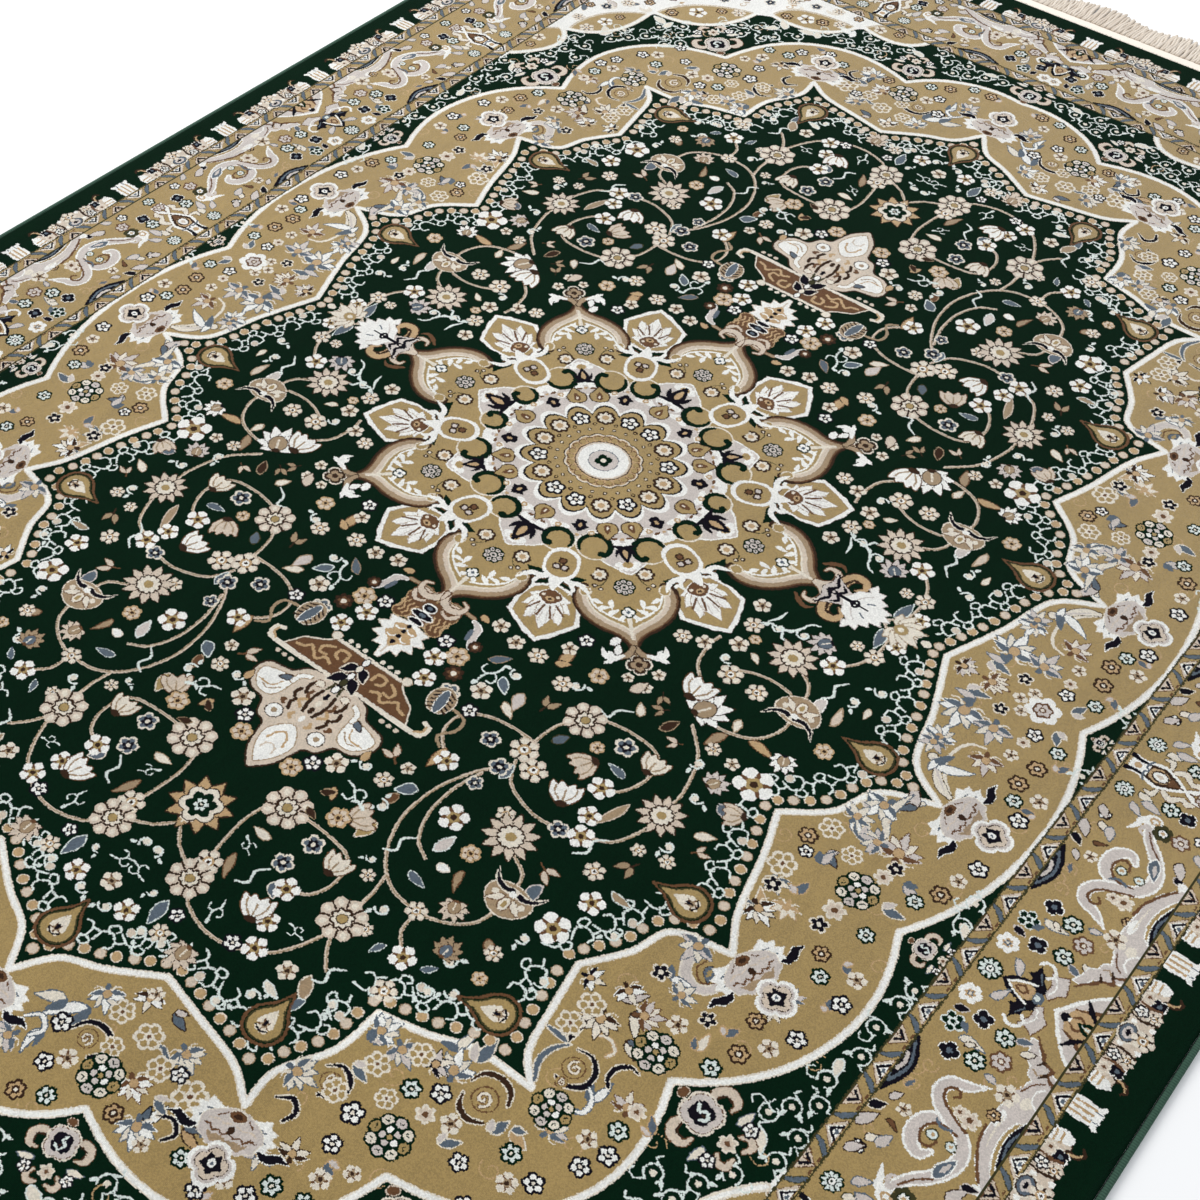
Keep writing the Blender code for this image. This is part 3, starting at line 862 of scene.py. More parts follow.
# x, y, turn, length, width, bend, yarn, rim
FIELD_LEAVES = [
    (455, 160, -15, 34, 14, 0.35, "silver", "snow"),
    (480, 190, 170, 30, 10, 0.3, "beige", "tan"),
    (175, 324, 160, 22, 13, 0.0, "camel", "brown"),
    (330, 330, 150, 26, 12, 0.1, "bark", "tan"),
    (140, 390, 30, 26, 12, 0.2, "slate", "ice"),
    (175, 395, 0, 28, 15, 0.2, "silver", "tan"),
    (165, 420, 50, 26, 10, 0.1, "cream", "tan"),
    (368, 445, -10, 50, 10, -0.15, "tan", "beige"),
    (395, 285, -40, 30, 12, 0.3, "tan", "brown"),
    (420, 275, 100, 34, 12, -0.3, "camel", "brown"),
    (158, 520, 10, 34, 13, -0.2, "camel", "brown"),
    (172, 588, -60, 26, 15, 0.2, "slate", "ice"),
    (160, 608, -20, 22, 11, 0.1, "brown", "tan"),
    (168, 655, -20, 30, 16, 0.1, "gold", "cream"),
    (240, 640, 160, 30, 13, 0.1, "silver", "ice"),
    (256, 652, 90, 16, 10, 0.1, "snow", "cream"),
    (362, 598, -20, 34, 15, 0.3, "slate", "silver"),
    (284, 640, -10, 26, 9, 0.5, "tan", "brown"),
    (425, 552, 60, 26, 9, 0.4, "tan", "ice"),
    (77, 790, 10, 34, 10, 0.2, "tan", "brown"),
    (360, 690, 40, 18, 10, 0.1, "tan", "brown"),
    (66, 884, 0, 34, 14, 0.1, "slate", "ice"),
    (246, 850, 20, 32, 14, 0.1, "tan", "cream"),
    (215, 885, 60, 24, 9, 0.2, "cream", "ice"),
    (262, 875, -30, 26, 10, 0.2, "slate", "ice"),
    (135, 790, 30, 20, 10, 0.2, "slate", "cream"),
    (446, 375, 60, 26, 14, 0.2, "slate", "silver"),
    (300, 330, 200, 20, 10, 0.2, "cream", "tan"),
    (245, 430, 150, 22, 12, 0.0, "slate", "olive"),
    (232, 512, 170, 24, 10, 0.1, "slate", "ice"),
    (395, 255, 0, 20, 10, 0.2, "cream", "tan"),
]
# x, y, turn, hand of the short pale curls
ICE_CURLS = [
    (338, 98, 0, 1), (368, 88, 0, 1), (335, 188, -30, -1), (222, 335, 40, -1), (142, 372, -30, 1),
    (388, 350, 60, 1), (430, 470, 60, 1), (150, 625, 120, -1), (135, 642, 0, 1), (240, 740, 30, 1),
    (10, 935, 20, 1), (70, 940, 90, 1), (110, 925, 0, -1), (350, 730, 60, -1), (365, 770, 30, 1),
    (285, 870, 90, 1), (200, 930, 30, -1), (345, 790, 60, 1), (225, 905, 200, 1), (450, 600, 30, 1),
    (430, 385, 0, -1), (490, 105, 0, 1), (480, 150, 90, 1), (430, 700, 60, 1), (95, 600, 0, 1),
]
# x, y, turn, size, yarn of the flowers seen from their side
BELLS = [
    (328, 262, 180, 1.05, "snow"), (356, 390, 180, 0.85, "cream"), (300, 422, -30, 0.9, "beige"),
    (307, 492, 200, 0.95, "snow"), (142, 670, 140, 0.9, "beige"), (172, 738, 180, 0.85, "cream"),
    (148, 838, 200, 0.95, "snow"), (475, 372, -60, 0.75, "beige"),
]
# x, y, turn, size, body, heart, dark
WHITE_PALMETTES = [
    (350, 275, 150, 0.95, "snow", "tan", "bark"), (408, 80, -40, 0.62, "silver", "slate", "black"),
    (466, 270, 20, 0.55, "snow", "tan", "black"), (125, 915, 0, 0.62, "beige", "tan", "brown"),
    (422, 358, 150, 0.55, "silver", "tan", "bark"), (305, 680, 20, 0.55, "beige", "tan", "brown"),
    (335, 735, 180, 0.55, "tan", "slate", "brown"),
]
# paths of the long pale tendrils
ICE_TENDRILS = [
    [(386, 62), (374, 69), (368, 85), (354, 98), (336, 99), (326, 106)],
    [(341, 70), (339, 84), (331, 98)], [(354, 98), (358, 110), (368, 112)],
    [(290, 330), (276, 340), (272, 356), (258, 352)],
    [(462, 120), (452, 134), (458, 150), (448, 162)],
    [(380, 500), (368, 512), (372, 528), (360, 540)],
    [(215, 640), (204, 652), (208, 668), (196, 676)],
    [(120, 780), (110, 792), (114, 808), (102, 816)],
    [(270, 820), (258, 830), (262, 846), (250, 852)],
]


def teardrops():
    """The pointed buds that hang off the inner corners of the wreath."""
    for x, y, turn in ((547, 196, 270), (497, 508, 275), (424, 754, 285), (250, 922, 180), (0.0, 985, 180)):
        teardrop(CLOTH.at(x, y, turn))


def field():
    """All the motifs of the field, the vines first."""
    for path in VINES:
        CLOTH.line(path, 4.2, "beige")
        CLOTH.line([(x + 1, y) for x, y in path], 1.6, "tan")
    lay_leaves(FIELD_LEAVES)
    for x, y, turn, hand in ICE_CURLS:
        ice_curl(CLOTH.at(x, y, turn), 10, hand)
    for path in ICE_TENDRILS:
        CLOTH.line(path, (2, 3.6, 3.6, 2), "ice")
    for kind, x, y, reach in FIELD_FLOWERS:
        CLOTH.flower(kind, reach, x, y, 0.7 * y % 72)
    for x, y, reach in ((388, 130, 31), (405, 432, 29), (294, 569, 33)):
        daisy(CLOTH.at(x, y), reach)
    for x, y, reach in ((255, 378, 27), (77, 706, 30), (62, 847, 27), (224, 775, 29)):
        big_rose(CLOTH.at(x, y), reach)
    for x, y, turn in ((440, 205, 180), (344, 630, 0)):
        moustache(CLOTH.at(x, y, turn))
    for x, y, turn, size, body, heart, dark in WHITE_PALMETTES:
        white_palmette(CLOTH.at(x, y, turn), size, body, heart, dark)
    for x, y, turn, size, yarn in BELLS:
        bell(CLOTH.at(x, y, turn), size, yarn)
    teardrops()


def is_bare(x, y, reach, ground):
    """Whether nothing but the ground yarn lies within this reach of a spot."""
    r0, r1 = int((y - reach) / STEP_Y), int((y + reach) / STEP_Y) + 1
    c0, c1 = int((x - reach) / STEP_X), int((x + reach) / STEP_X) + 1
    if r1 >= chart.shape[0] or c1 >= chart.shape[1]:
        return False
    return bool((chart[max(0, r0):r1, max(0, c0):c1] == YARN_NUMBER[ground]).all())


def leaf_pair(n, yarn="camel", rim="bark"):
    """Two leaves on one short stem."""
    n.at(-1, 0, -38).leaf(19, 8.5, yarn, 0.2, rim, 1)
    n.at(1, 0, 42).leaf(17, 8, yarn, -0.2, rim, 1)
    n.line([(0, 2), (1, -10)], 2.2, rim, rounded=False)


def sprig(n, size=1.0, yarn="ice"):
    """A thin pale twig with two tendrils and a bud."""
    m = n.at(0, 0, size=size)
    m.line([(0, -20), (3, -6), (-2, 8), (2, 22)], 2.8, yarn)
    m.line([(2, -4), (12, 0.0), (14, 9), (8, 12)], 2.4, yarn)
    m.line([(-1, 6), (-12, 6), (-15, -3)], 2.4, yarn)
    m.oval(2, 25, 3.4, 5, yarn)


def small_thing(n, number):
    """One of the small things that fill the dark ground between the flowers."""
    kind = number % 9
    if kind == 0:
        leaf_pair(n, "tan", "bark")
    elif kind == 1:
        sprig(n.at(0, 0, size=0.72))
    elif kind == 2:
        n.flower("white", 12.5)
    elif kind == 3:
        n.at(0, -12).leaf(26, 10.5, "slate", 0.3, "ice", 1)
    elif kind == 4:
        leaf_pair(n, "beige", "brown")
    elif kind == 5:
        n.flower("dusky", 12.5)
    elif kind == 6:
        n.at(0, -12).leaf(24, 11, "cream", -0.3, "tan", 1.2)
    elif kind == 7:
        ice_curl(n, 9, 1)
    else:
        n.flower("creamtan", 12)


def small_things():
    """Small things laid wherever the dark ground is still bare."""
    seeds = np.random.default_rng(5)
    laid = 0
    for reach, tries in ((16.5, 5200), (12.5, 3400)):
        for x, y in seeds.random((tries, 2)) * (620, 1020):
            if is_bare(x, y, reach, "green"):
                small_thing(CLOTH.at(x, y, 360 * seeds.random(), size=reach / 16.5), laid)
                laid += 1


# PENDANTS
# The tall ornament that hangs off each end of the medallion along the rug's long axis: a cup, a bowl on a
# rail and a great palmette, in cut pile, with the flowers that grow beside it and a dark rosette beyond.

# Beside each pendant, from the medallion out: flower, across, along, reach.
PENDANT_FLOWERS = [
    ("black", 50, 392, 13), ("dusky", 76, 402, 16), ("snowgold", 56, 421, 15), ("ember", 90, 426, 13),
    ("snowgold", 68, 455, 15), ("ember", 83, 376, 10), ("white", 133, 425, 14), ("black", 142, 458, 12),
    ("white", 76, 622, 15), ("black", 55, 640, 13), ("dusky", 40, 661, 14), ("dusky", 130, 678, 15),
    ("white", 85, 327, 12), ("white", 116, 336, 12), ("creamtan", 150, 335, 13), ("white", 172, 300, 11),
    ("black", 180, 276, 12), ("creamtan", 200, 351, 13), ("dusky", 226, 312, 13), ("dusk", 252, 265, 17),
    ("white", 280, 262, 9), ("white", 254, 290, 8), ("white", 280, 290, 9), ("creamtan", 265, 190, 12),
    ("white", 291, 180, 12), ("white", 325, 155, 13), ("dusky", 336, 135, 8), ("creamtan", 321, 116, 13),
    ("white", 311, 81, 12),
]
# Leaves beside it: yarn, across, along, turn, length, width.
PENDANT_LEAVES = [
    ("slate", 108, 380, 125, 28, 11), ("camel", 94, 600, 170, 18, 10), ("camel", 98, 648, 20, 20, 10),
    ("camel", 56, 328, 60, 16, 10), ("camel", 172, 330, 110, 20, 10), ("snow", 205, 262, 160, 22, 12),
    ("snow", 222, 270, 200, 18, 10), ("bark", 90, 664, 120, 18, 9), ("bark", 94, 690, 60, 18, 9),
    ("beige", 268, 306, 150, 26, 14),
]


def striped_bud(n, size=1.0):
    """A round bud with dark and pale stripes."""
    m = n.at(0, 0, size=size)
    m.oval(0, 0, 18, 22, "tan", rim="cream", width=1.4)
    for number in range(5):
        v = -14 + 7 * number
        m.line([(-14, v + 4), (0, v - 2), (14, v + 4)], 2.6, "black" if number % 2 else "bark")
    m.shape([(0, 22), (6, 10), (5, -10), (0, -18)], "slate", rim="snow", width=1.2, mirror=True)


def pendant_side(h):
    """The right half of a pendant; h.flip turns it into the left half."""
    h.line([(20, 338), (52, 340)], 5.2, "tan", rounded=False, rim="brown", rim_width=1)
    h.line([(1, 318), (4, 334), (14, 344), (28, 342), (34, 352), (26, 362), (15, 358), (17, 350)],
           (7, 8, 7, 7, 7, 6, 4, 3), "beige", rim="brown", rim_width=1.2)
    for u, v in ((14, 372), (21, 370), (28, 368), (34, 366)):
        h.line([(u, v), (u + 3, v + 8), (u - 1, v + 15), (u + 2, v + 22)], 2.4, "camel")
    h.line([(2, 410), (8, 414), (14, 413)], 2.2, "snow")
    h.line([(2, 424), (8, 430), (14, 429)], 2.2, "snow")
    # the bowl on its rail
    h.line([(22, 500), (24, 488), (36, 488), (38, 498), (31, 502)], 4.2, "camel")
    h.line([(46, 490), (58, 497), (56, 507), (47, 506)], 4, "camel")
    h.line([(34, 514), (44, 510), (52, 519), (62, 512), (70, 506), (76, 513), (86, 516)], 4.2, "camel")
    h.line([(0, 477), (56, 477)], 4.6, "cream", rounded=False)
    h.oval(57, 474, 6.4, 6.4, "cream", rim="tan", width=1)
    h.line([(0, 529), (108, 529), (122, 524), (124, 512), (114, 508)], (4.4, 4.4, 7, 7.4, 6), "cream")
    h.line([(112, 527), (121, 520), (120, 512)], 3, "camel")
    for number in range(3):
        h.oval(14 + 12 * number, 470, 3.4, 3.4, "cream")
        h.oval(74 + 11 * number, 540, 3.4, 3.4, "beige")
    # the great palmette under the bowl
    h.shape([(47, 566), (62, 561), (88, 569), (88, 584), (72, 599), (52, 594)], "snow", "tan", 1.6)
    h.line([(56, 572), (64, 586), (82, 586)], 2.2, "camel")
    h.line([(52, 582), (64, 592), (74, 590)], 1.8, "tan")
    h.at(50, 560, 60).leaf(18, 8, "slate", rim="bark")
    h.line([(36, 545), (46, 552), (48, 564)], 6, "snow", rim="tan", rim_width=1.2)
    h.oval(34, 612, 10.5, 10, "snow", rim="bark", width=1.4).oval(34, 612, 4, 4, "tan")
    for u, top, low, yarn in ((10, 552, 590, "bark"), (18, 560, 572, "brown"), (26, 548, 566, "bark"),
                              (32, 566, 580, "bark"), (26, 582, 598, "bark"), (36, 590, 596, "brown"),
                              (14, 600, 608, "camel")):
        h.line([(u, top), (u + 2, (top + low) / 2), (u - 2, low)], 5.2, yarn)
    h.line([(16, 574), (22, 580), (14, 588)], 4.4, "camel")
    h.oval(20, 545, 6, 5, "cream", rim="brown", width=1)
    h.line([(1, 628), (8, 634), (12, 646)], 3, "camel")
    h.line([(1, 650), (7, 654), (9, 662)], 2.6, "beige")
    # black leaf pairs on the stem
    for v, size in ((496, 1.0), (516, 1.15)):
        h.at(2, v, 62).leaf(22 * size, 13 * size, "black", bend=-0.3, rim="cream", rim_width=1.6)
    h.line([(6, 534), (8, 546)], 3.4, "olive", rounded=False)
    # what grows beside it
    h.line([(56, 344), (67, 350), (70, 364), (78, 382)], (4, 9, 10, 4), "silver", rim="snow", rim_width=1.2)
    h.line([(63, 358), (66, 372)], 6, "slate", rounded=False)
    striped_bud(h.at(107, 468, 10), 0.95)
    h.line([(128, 470), (146, 474), (150, 492), (138, 512), (150, 524)], 4.2, "tan")
    sprig(h.at(124, 395, -20), 1.0)
    sprig(h.at(120, 640, 60), 0.9)
    for kind, u, v, reach in PENDANT_FLOWERS:
        h.flower(kind, reach, u, v)
    for yarn, u, v, turn, long, wide in PENDANT_LEAVES:
        h.at(u, v, turn).leaf(long, wide, yarn, bend=0.15, rim="tan" if yarn in ("slate",
                                                                                 "bark") else "bark",
                              rim_width=1)


def pendants():
    """The pendant on the long axis and the dark rosette beyond it."""
    n = CLOTH
    n.shape([(0.0, 338), (20, 340), (34, 348), (38, 360), (33, 374), (37, 392), (28, 399), (14, 394),
             (0, 396)], "brown", "camel", 1.4, mirror=True)
    n.shape([(0, 397), (12, 399), (30, 402), (25, 411), (37, 420), (24, 426), (32, 437), (17, 439),
             (19, 451), (7, 449), (3, 467)], "snow", "beige", 1, mirror=True, rounded=False)
    n.shape([(0, 402), (17, 409), (14, 418), (20, 427), (8, 436), (0, 446)], "camel", mirror=True)
    n.shape([(0, 480), (54, 480), (62, 489), (86, 503), (98, 526)], "brown", "cream", 2.2, mirror=True,
            rounded=False)
    n.shape([(0, 534), (30, 532), (48, 539), (60, 553), (90, 560), (96, 580), (82, 601), (58, 607),
             (47, 626), (32, 633), (27, 648), (20, 670), (4, 690)], "beige", "bark", 2.6, mirror=True)
    n.shape([(0, 614), (11, 621), (21, 638), (17, 660), (3, 680)], "snow", "tan", 1.4, mirror=True)
    for hand in (1, -1):
        pendant_side(n.at(0, 0, flip=hand))
    n.oval(0, 364, 8.5, 6, "black", rim="snow").oval(0, 364, 4, 3, "slate")
    n.oval(0, 379, 15, 5.2, "black", rim="snow").oval(0, 379, 5, 3, "slate")
    n.oval(0, 392, 10, 3.8, "black", rim="snow")
    for v in (404, 414, 425, 436):
        n.oval(0, v, 3.4, 3.6, "black")
    n.line([(0, 444), (0, 458)], 2.4, "beige", rounded=False)
    for v, yarn in ((484, "snow"), (497, "cream"), (512, "snow"), (526, "olive"), (540, "snow")):
        n.oval(0, v, 3.8, 5.8, yarn, rim="black", width=1.4)
    for v, yarn in ((556, "black"), (570, "cream"), (584, "bark"), (600, "snow")):
        n.oval(0, v, 3.4, 5.6, yarn)
    # the dark rosette on the axis
    m = n.at(0, 768, 0)
    for lean in range(0, 360, 36):
        m.at(0, 0, lean).leaf(40, 19, "camel", rim="bark", rim_width=1.8)
        m.at(0, 20, lean).leaf(12, 6, "cream")
    m.shape(lobes(6, 26, 0.25), "cream", "bark", 1.6, rounded=False)
    m.shape(lobes(6, 19, 0.3), "green", rounded=False)
    m.flower("green", 12)


# CORNERS
# The ivory corner grounds with their flowers and small curls, each edged by a row of gold shields, all in cut
# pile. The shields have a white outline towards the field.

# A shield by its two ends and by its bulge towards the field and towards the corner.
SHIELDS = [
    {"start": (742, 728), "end": (726, 852), "field": (700, 800), "corner": (775, 790)},
    {"start": (716, 856), "end": (640, 996), "field": (655, 905), "corner": (704, 935)},
    {"start": (634, 1006), "end": (498, 1126), "field": (540, 1035), "corner": (592, 1080)},
    {"start": (474, 1140), "end": (338, 1206), "field": (385, 1148), "corner": (440, 1192)},
    {"start": (328, 1216), "end": (215, 1250), "field": (255, 1210), "corner": (270, 1275)},
]
# flower, x, y, reach
CORNER_FLOWERS = [
    ("white", 738, 800, 12), ("brown", 735, 772, 10), ("creamtan", 695, 882, 14),
    ("snowgold", 682, 920, 14), ("brown", 672, 950, 10), ("brown", 612, 1026, 13),
    ("snowgold", 578, 1058, 17), ("brown", 548, 1090, 11), ("creamtan", 522, 1106, 13),
    ("brown", 452, 1156, 12), ("snowgold", 420, 1170, 16), ("brown", 392, 1180, 13),
    ("creamtan", 365, 1194, 12), ("white", 302, 1228, 12), ("brown", 268, 1236, 11),
    ("creamtan", 728, 902, 12), ("night", 712, 965, 13), ("brown", 738, 950, 10),
    ("creamtan", 690, 1000, 13), ("brown", 662, 1028, 11), ("night", 720, 1030, 14),
    ("creamtan", 735, 1075, 13), ("brown", 640, 1070, 11), ("green", 690, 1060, 14),
    ("creamtan", 605, 1108, 12), ("night", 568, 1128, 12), ("brown", 668, 1105, 11),
    ("creamtan", 715, 1120, 15), ("night", 620, 1150, 14), ("creamtan", 660, 1165, 16),
    ("brown", 540, 1160, 10), ("green", 705, 1180, 14), ("night", 500, 1176, 12),
    ("creamtan", 575, 1185, 13), ("brown", 620, 1205, 12), ("creamtan", 470, 1206, 12),
    ("green", 530, 1215, 13), ("night", 430, 1220, 12), ("creamtan", 580, 1232, 12),
    ("brown", 490, 1236, 11), ("creamtan", 390, 1232, 12), ("brown", 350, 1234, 10),
    ("night", 660, 1225, 13), ("creamtan", 722, 1228, 12), ("brown", 742, 1150, 10),
    ("night", 742, 1000, 10),
]
# x, y, turn, length, width, bend, yarn, rim
CORNER_LEAVES = [
    (735, 925, 20, 24, 10, 0.3, "slate", "beige"), (700, 975, 60, 26, 11, 0.2, "silver", "tan"),
    (725, 990, -30, 24, 10, 0.3, "tan", "brown"), (672, 1010, 120, 22, 10, 0.2, "slate", "beige"),
    (700, 1035, 20, 24, 10, 0.2, "silver", "tan"), (655, 1050, 60, 24, 10, 0.2, "tan", "brown"),
    (720, 1095, 80, 24, 10, 0.2, "slate", "beige"), (625, 1095, 20, 24, 10, 0.2, "silver", "tan"),
    (640, 1130, -50, 26, 10, 0.2, "tan", "brown"), (590, 1150, 100, 24, 10, 0.2, "slate", "beige"),
    (690, 1145, 0, 26, 10, 0.2, "silver", "tan"), (540, 1190, 60, 24, 10, 0.2, "tan", "brown"),
    (510, 1200, 110, 24, 10, 0.2, "slate", "beige"), (600, 1210, -40, 24, 10, 0.2, "silver", "tan"),
    (640, 1190, 70, 24, 10, 0.2, "slate", "beige"), (450, 1230, 90, 24, 9, 0.2, "tan", "brown"),
    (690, 1210, 60, 24, 10, 0.2, "tan", "brown"), (550, 1238, 90, 22, 9, 0.2, "slate", "beige"),
]


def shield_line(row, facing, count=12):
    """The bowed edge of a shield that faces the field or the corner."""
    a, b = np.array(row["start"]), np.array(row["end"])
    bulge = np.array(row[facing])
    t = np.linspace(0, 1, count)[:, None]
    middle = 2 * bulge - (a + b) / 2
    return (1 - t)**2 * a + 2 * t * (1 - t) * middle + t**2 * b


def ivory_corners():
    """The ivory ground, its soft clouds, the shields, and the flowers of both."""
    edges = [shield_line(row, "field") for row in SHIELDS]
    ivory = np.concatenate([*edges, [(200, 1300), (800, 1300), (800, 700), (745, 700)]])
    fill(ivory, "snow")
    # soft clouds in the ivory ground
    for number in range(34):
        u, v = 735 - 13.5 * (number * 7 % 31), 1235 - 11 * (number * 11 % 29)
        if (u - 300) * 0.42 + (v - 1190) * 0.5 > 55:
            CLOTH.oval(u, v, 13, 10, "cream").oval(u + 6, v + 4, 8, 6, "snow")
    for row in SHIELDS:
        whole = np.concatenate([shield_line(row, "field"), shield_line(row, "corner")[::-1]])
        fill(whole, "gold")
        stitch(shield_line(row, "corner"), 5, "cream")
        stitch(shield_line(row, "corner"), 1.4, "tan")
        stitch(shield_line(row, "field"), 10, "cream")
        stitch(shield_line(row, "field"), 5, "snow")
    for p, q in zip(SHIELDS, SHIELDS[1:]):
        CLOTH.line([p["end"], q["start"]], 10, "snow")
    for number in range(150):
        u, v = 742 - 17.1 * (number * 13 % 31), 1243 - 16.5 * (number * 17 % 33)
        if (u - 300) * 0.42 + (v - 1190) * 0.5 > 70:
            n = CLOTH.at(u, v, 47 * number)
            n.curl(8.5, 1.0, 1.8, ("camel", "beige", "tan")[number % 3], 1 if number % 2 else -1)
            n.leaf(13, 6, ("beige", "slate", "camel", "brown")[number % 4], 0.3)
    lay_leaves(CORNER_LEAVES)
    for kind, x, y, reach in CORNER_FLOWERS:
        CLOTH.flower(kind, reach, x, y, 0.8 * (x + y) % 72)


# x, y, turn, size of the palmettes that sit in the outer notches of the wreath
NOTCH_PALMETTES = [(0.0, 1214, 0, 0.9), (190, 1150, 20, 0.9), (490, 992, 45, 1.1), (650, 706, 75, 1.1),
                   (722, 388, 90, 0.62), (735, 0.0, 90, 0.35)]
# x, y, turn, hand of the pale curls outside the wreath
OUTER_CURLS = [
    (737, 465, 0, 1), (732, 505, 40, -1), (738, 545, 0, 1), (725, 590, -30, -1), (735, 620, 60, 1),
    (715, 640, 0, -1), (700, 660, 200, 1), (738, 665, 0, 1), (735, 300, 0, -1), (738, 335, 60, 1),
    (742, 60, 0, 1), (740, 440, 180, -1), (680, 800, 0, 1), (660, 830, 60, -1), (690, 840, -60, 1),
    (650, 790, 0, -1), (640, 880, 0, 1), (620, 905, 90, -1), (600, 930, 0, 1), (575, 950, 60, -1),
    (600, 970, 120, 1), (555, 975, 0, 1), (570, 1000, 60, -1), (540, 950, 200, -1), (520, 1060, 0, 1),
    (495, 1075, 60, -1), (470, 1085, -60, 1), (445, 1060, 0, -1), (430, 1080, 90, 1), (480, 1050, 30, 1),
    (450, 1110, 60, -1), (365, 1155, 0, 1), (335, 1150, 90, -1), (310, 1150, 0, 1), (285, 1155, 60, -1),
    (255, 1150, 0, 1), (265, 1180, 60, -1), (300, 1190, 0, 1), (110, 1200, 0, 1), (135, 1190, 60, -1),
    (85, 1215, 0, 1), (55, 1222, 90, -1), (230, 1205, 90, 1), (160, 1215, 0, -1), (125, 1228, 90, 1),
    (180, 1235, 90, -1), (640, 920, 30, 1), (560, 930, 0, 1), (735, 700, 0, 1), (700, 820, 0, -1),
    (710, 740, 30, 1), (690, 770, 60, -1), (510, 1040, 0, 1), (400, 1110, 60, 1),
]
# x, y, turn, length, width, bend, yarn, rim
OUTER_LEAVES = [
    (655, 885, 30, 30, 14, 0.2, "cream", "ice"), (665, 880, -40, 26, 12, 0.2, "cream", "ice"),
    (600, 985, 60, 30, 14, 0.2, "cream", "ice"), (595, 975, -20, 24, 12, 0.2, "cream", "ice"),
    (430, 1115, 30, 32, 14, 0.2, "cream", "ice"), (440, 1110, 120, 26, 12, 0.2, "cream", "ice"),
    (380, 1135, 90, 30, 14, 0.2, "cream", "ice"), (372, 1128, 20, 22, 12, 0.2, "cream", "ice"),
    (335, 1180, 60, 26, 12, 0.2, "snow", "ice"), (330, 1172, 0, 22, 10, 0.2, "snow", "ice"),
    (705, 680, 20, 26, 12, 0.2, "cream", "ice"), (725, 560, 0, 22, 10, 0.2, "cream", "ice"),
    (200, 1200, 60, 26, 12, 0.2, "cream", "ice"), (740, 330, 20, 24, 10, 0.2, "cream", "ice"),
    (70, 1230, 90, 24, 10, 0.2, "cream", "ice"),
]


def notch_palmette(n):
    """A rounded palmette with a dark heart and beige curls about it, ahead of a notch of the wreath."""
    for h in (n, n.at(0, 0, flip=-1)):
        h.line([(12, -4), (26, -8), (36, 0.0), (34, 12), (24, 14)], (3, 8, 10, 8, 3), "beige", rim="brown",
               rim_width=1)
        h.line([(20, -3), (30, 0.0), (30, 8)], 2.2, "bark")
        h.line([(6, 50), (16, 52), (20, 44), (14, 38)], (3, 7, 7, 3), "beige", rim="brown", rim_width=1)
        h.at(20, 26, 70).leaf(20, 9, "cream", 0.3, "slate", 1)
        h.flower("black", 9, 26, 38)
    n.shape(lobes(4, 22.5, 0.16, 0.6, 45), "cream", rounded=False)
    n.shape(lobes(4, 19.5, 0.18, 0.6, 45), "silver", "brown", 0.8, rounded=False)
    n.shape(lobes(4, 13, 0.2, 0.6, 45), "black", rounded=False)
    n.line([(-6, 4), (0, 8), (5, 2), (0, -3), (4, -8)], 3.2, "ice")
    n.oval(0, 3, 1.6, 1.6, "bark")
    n.flower("pale", 10, 0, 36)
    n.oval(0, -26, 6, 4.5, "brown", rim="beige", width=1)


def ice_ring(n, reach=9.5, hand=1.0):
    """An open ring of pale yarn round a cream eye, with a leaf at its back."""
    a = np.linspace(0.3, 5.4, 16)
    n.line(np.stack([hand * reach * np.sin(a), reach * np.cos(a)], 1), 2.1, "ice")
    n.line([(hand * 4, 1.0 * reach), (hand * 12, 1.6 * reach), (hand * 20, 1.2 * reach),
            (hand * 18, 0.5 * reach)], 1.8, "ice")
    n.oval(0, 0, 3.6, 3.6, "cream")
    n.at(-hand * reach, 1, -40 * hand).leaf(11, 5, "ice")
    n.line([(-hand * 3, -reach), (hand * 6, -1.5 * reach), (hand * 3, -2.1 * reach)], 2.2, "ice")


def outer_green():
    """What grows on the dark green between the wreath and the shields."""
    for x, y, turn, hand in OUTER_CURLS:
        ice_ring(CLOTH.at(x, y, turn), 10, hand)
    lay_leaves(OUTER_LEAVES)
    for x, y, turn, size in NOTCH_PALMETTES:
        notch_palmette(CLOTH.at(x, y, turn, size))


# The parts are laid from the ground up, and the plain bands of the borders last.
faint_curls()
fill(np.concatenate([inner_line, [(0, 0)]]), "green")
for edge in (outer_line, inner_line):
    stitch(edge, 9, "cream")
    stitch(edge, 5.6, "snow")
wreath()
wreath_dots()
field()
pendants()
ivory_corners()
outer_green()

# Bands from the field out to the rim, the same on the sides and, 498 mm further out, at the ends.
BAND_OFFSET = 498
BANDS = [
    {"from": 748, "yarn": "olive"},
    {"from": 750.5, "yarn": "gold"},
    {"from": 768, "yarn": "olive"},
    {"from": 770.5, "yarn": "gold"},
    {"from": 903.5, "yarn": "olive"},
    {"from": 906, "yarn": "gold"},
    {"from": 924.5, "yarn": "olive"},
    {"from": 927, "yarn": "green"},
]
x_mid = (np.arange(chart.shape[1]) + 0.5) * STEP_X
y_mid = (np.arange(chart.shape[0]) + 0.5) * STEP_Y
depth = np.maximum(x_mid[None, :], y_mid[:, None] - BAND_OFFSET)
for band in BANDS:
    chart[depth >= band["from"]] = YARN_NUMBER[band["yarn"]]


# MEDALLION
# The round ornament in the middle, in cut pile: eight curled petals, a silver ring and a gold sunflower. Its
# motifs are laid round the rug's middle: turn is from the long axis, u across and v out from the middle.
ROUND = (1.0, 0.965)
ROSE = Needle(stretch=ROUND)


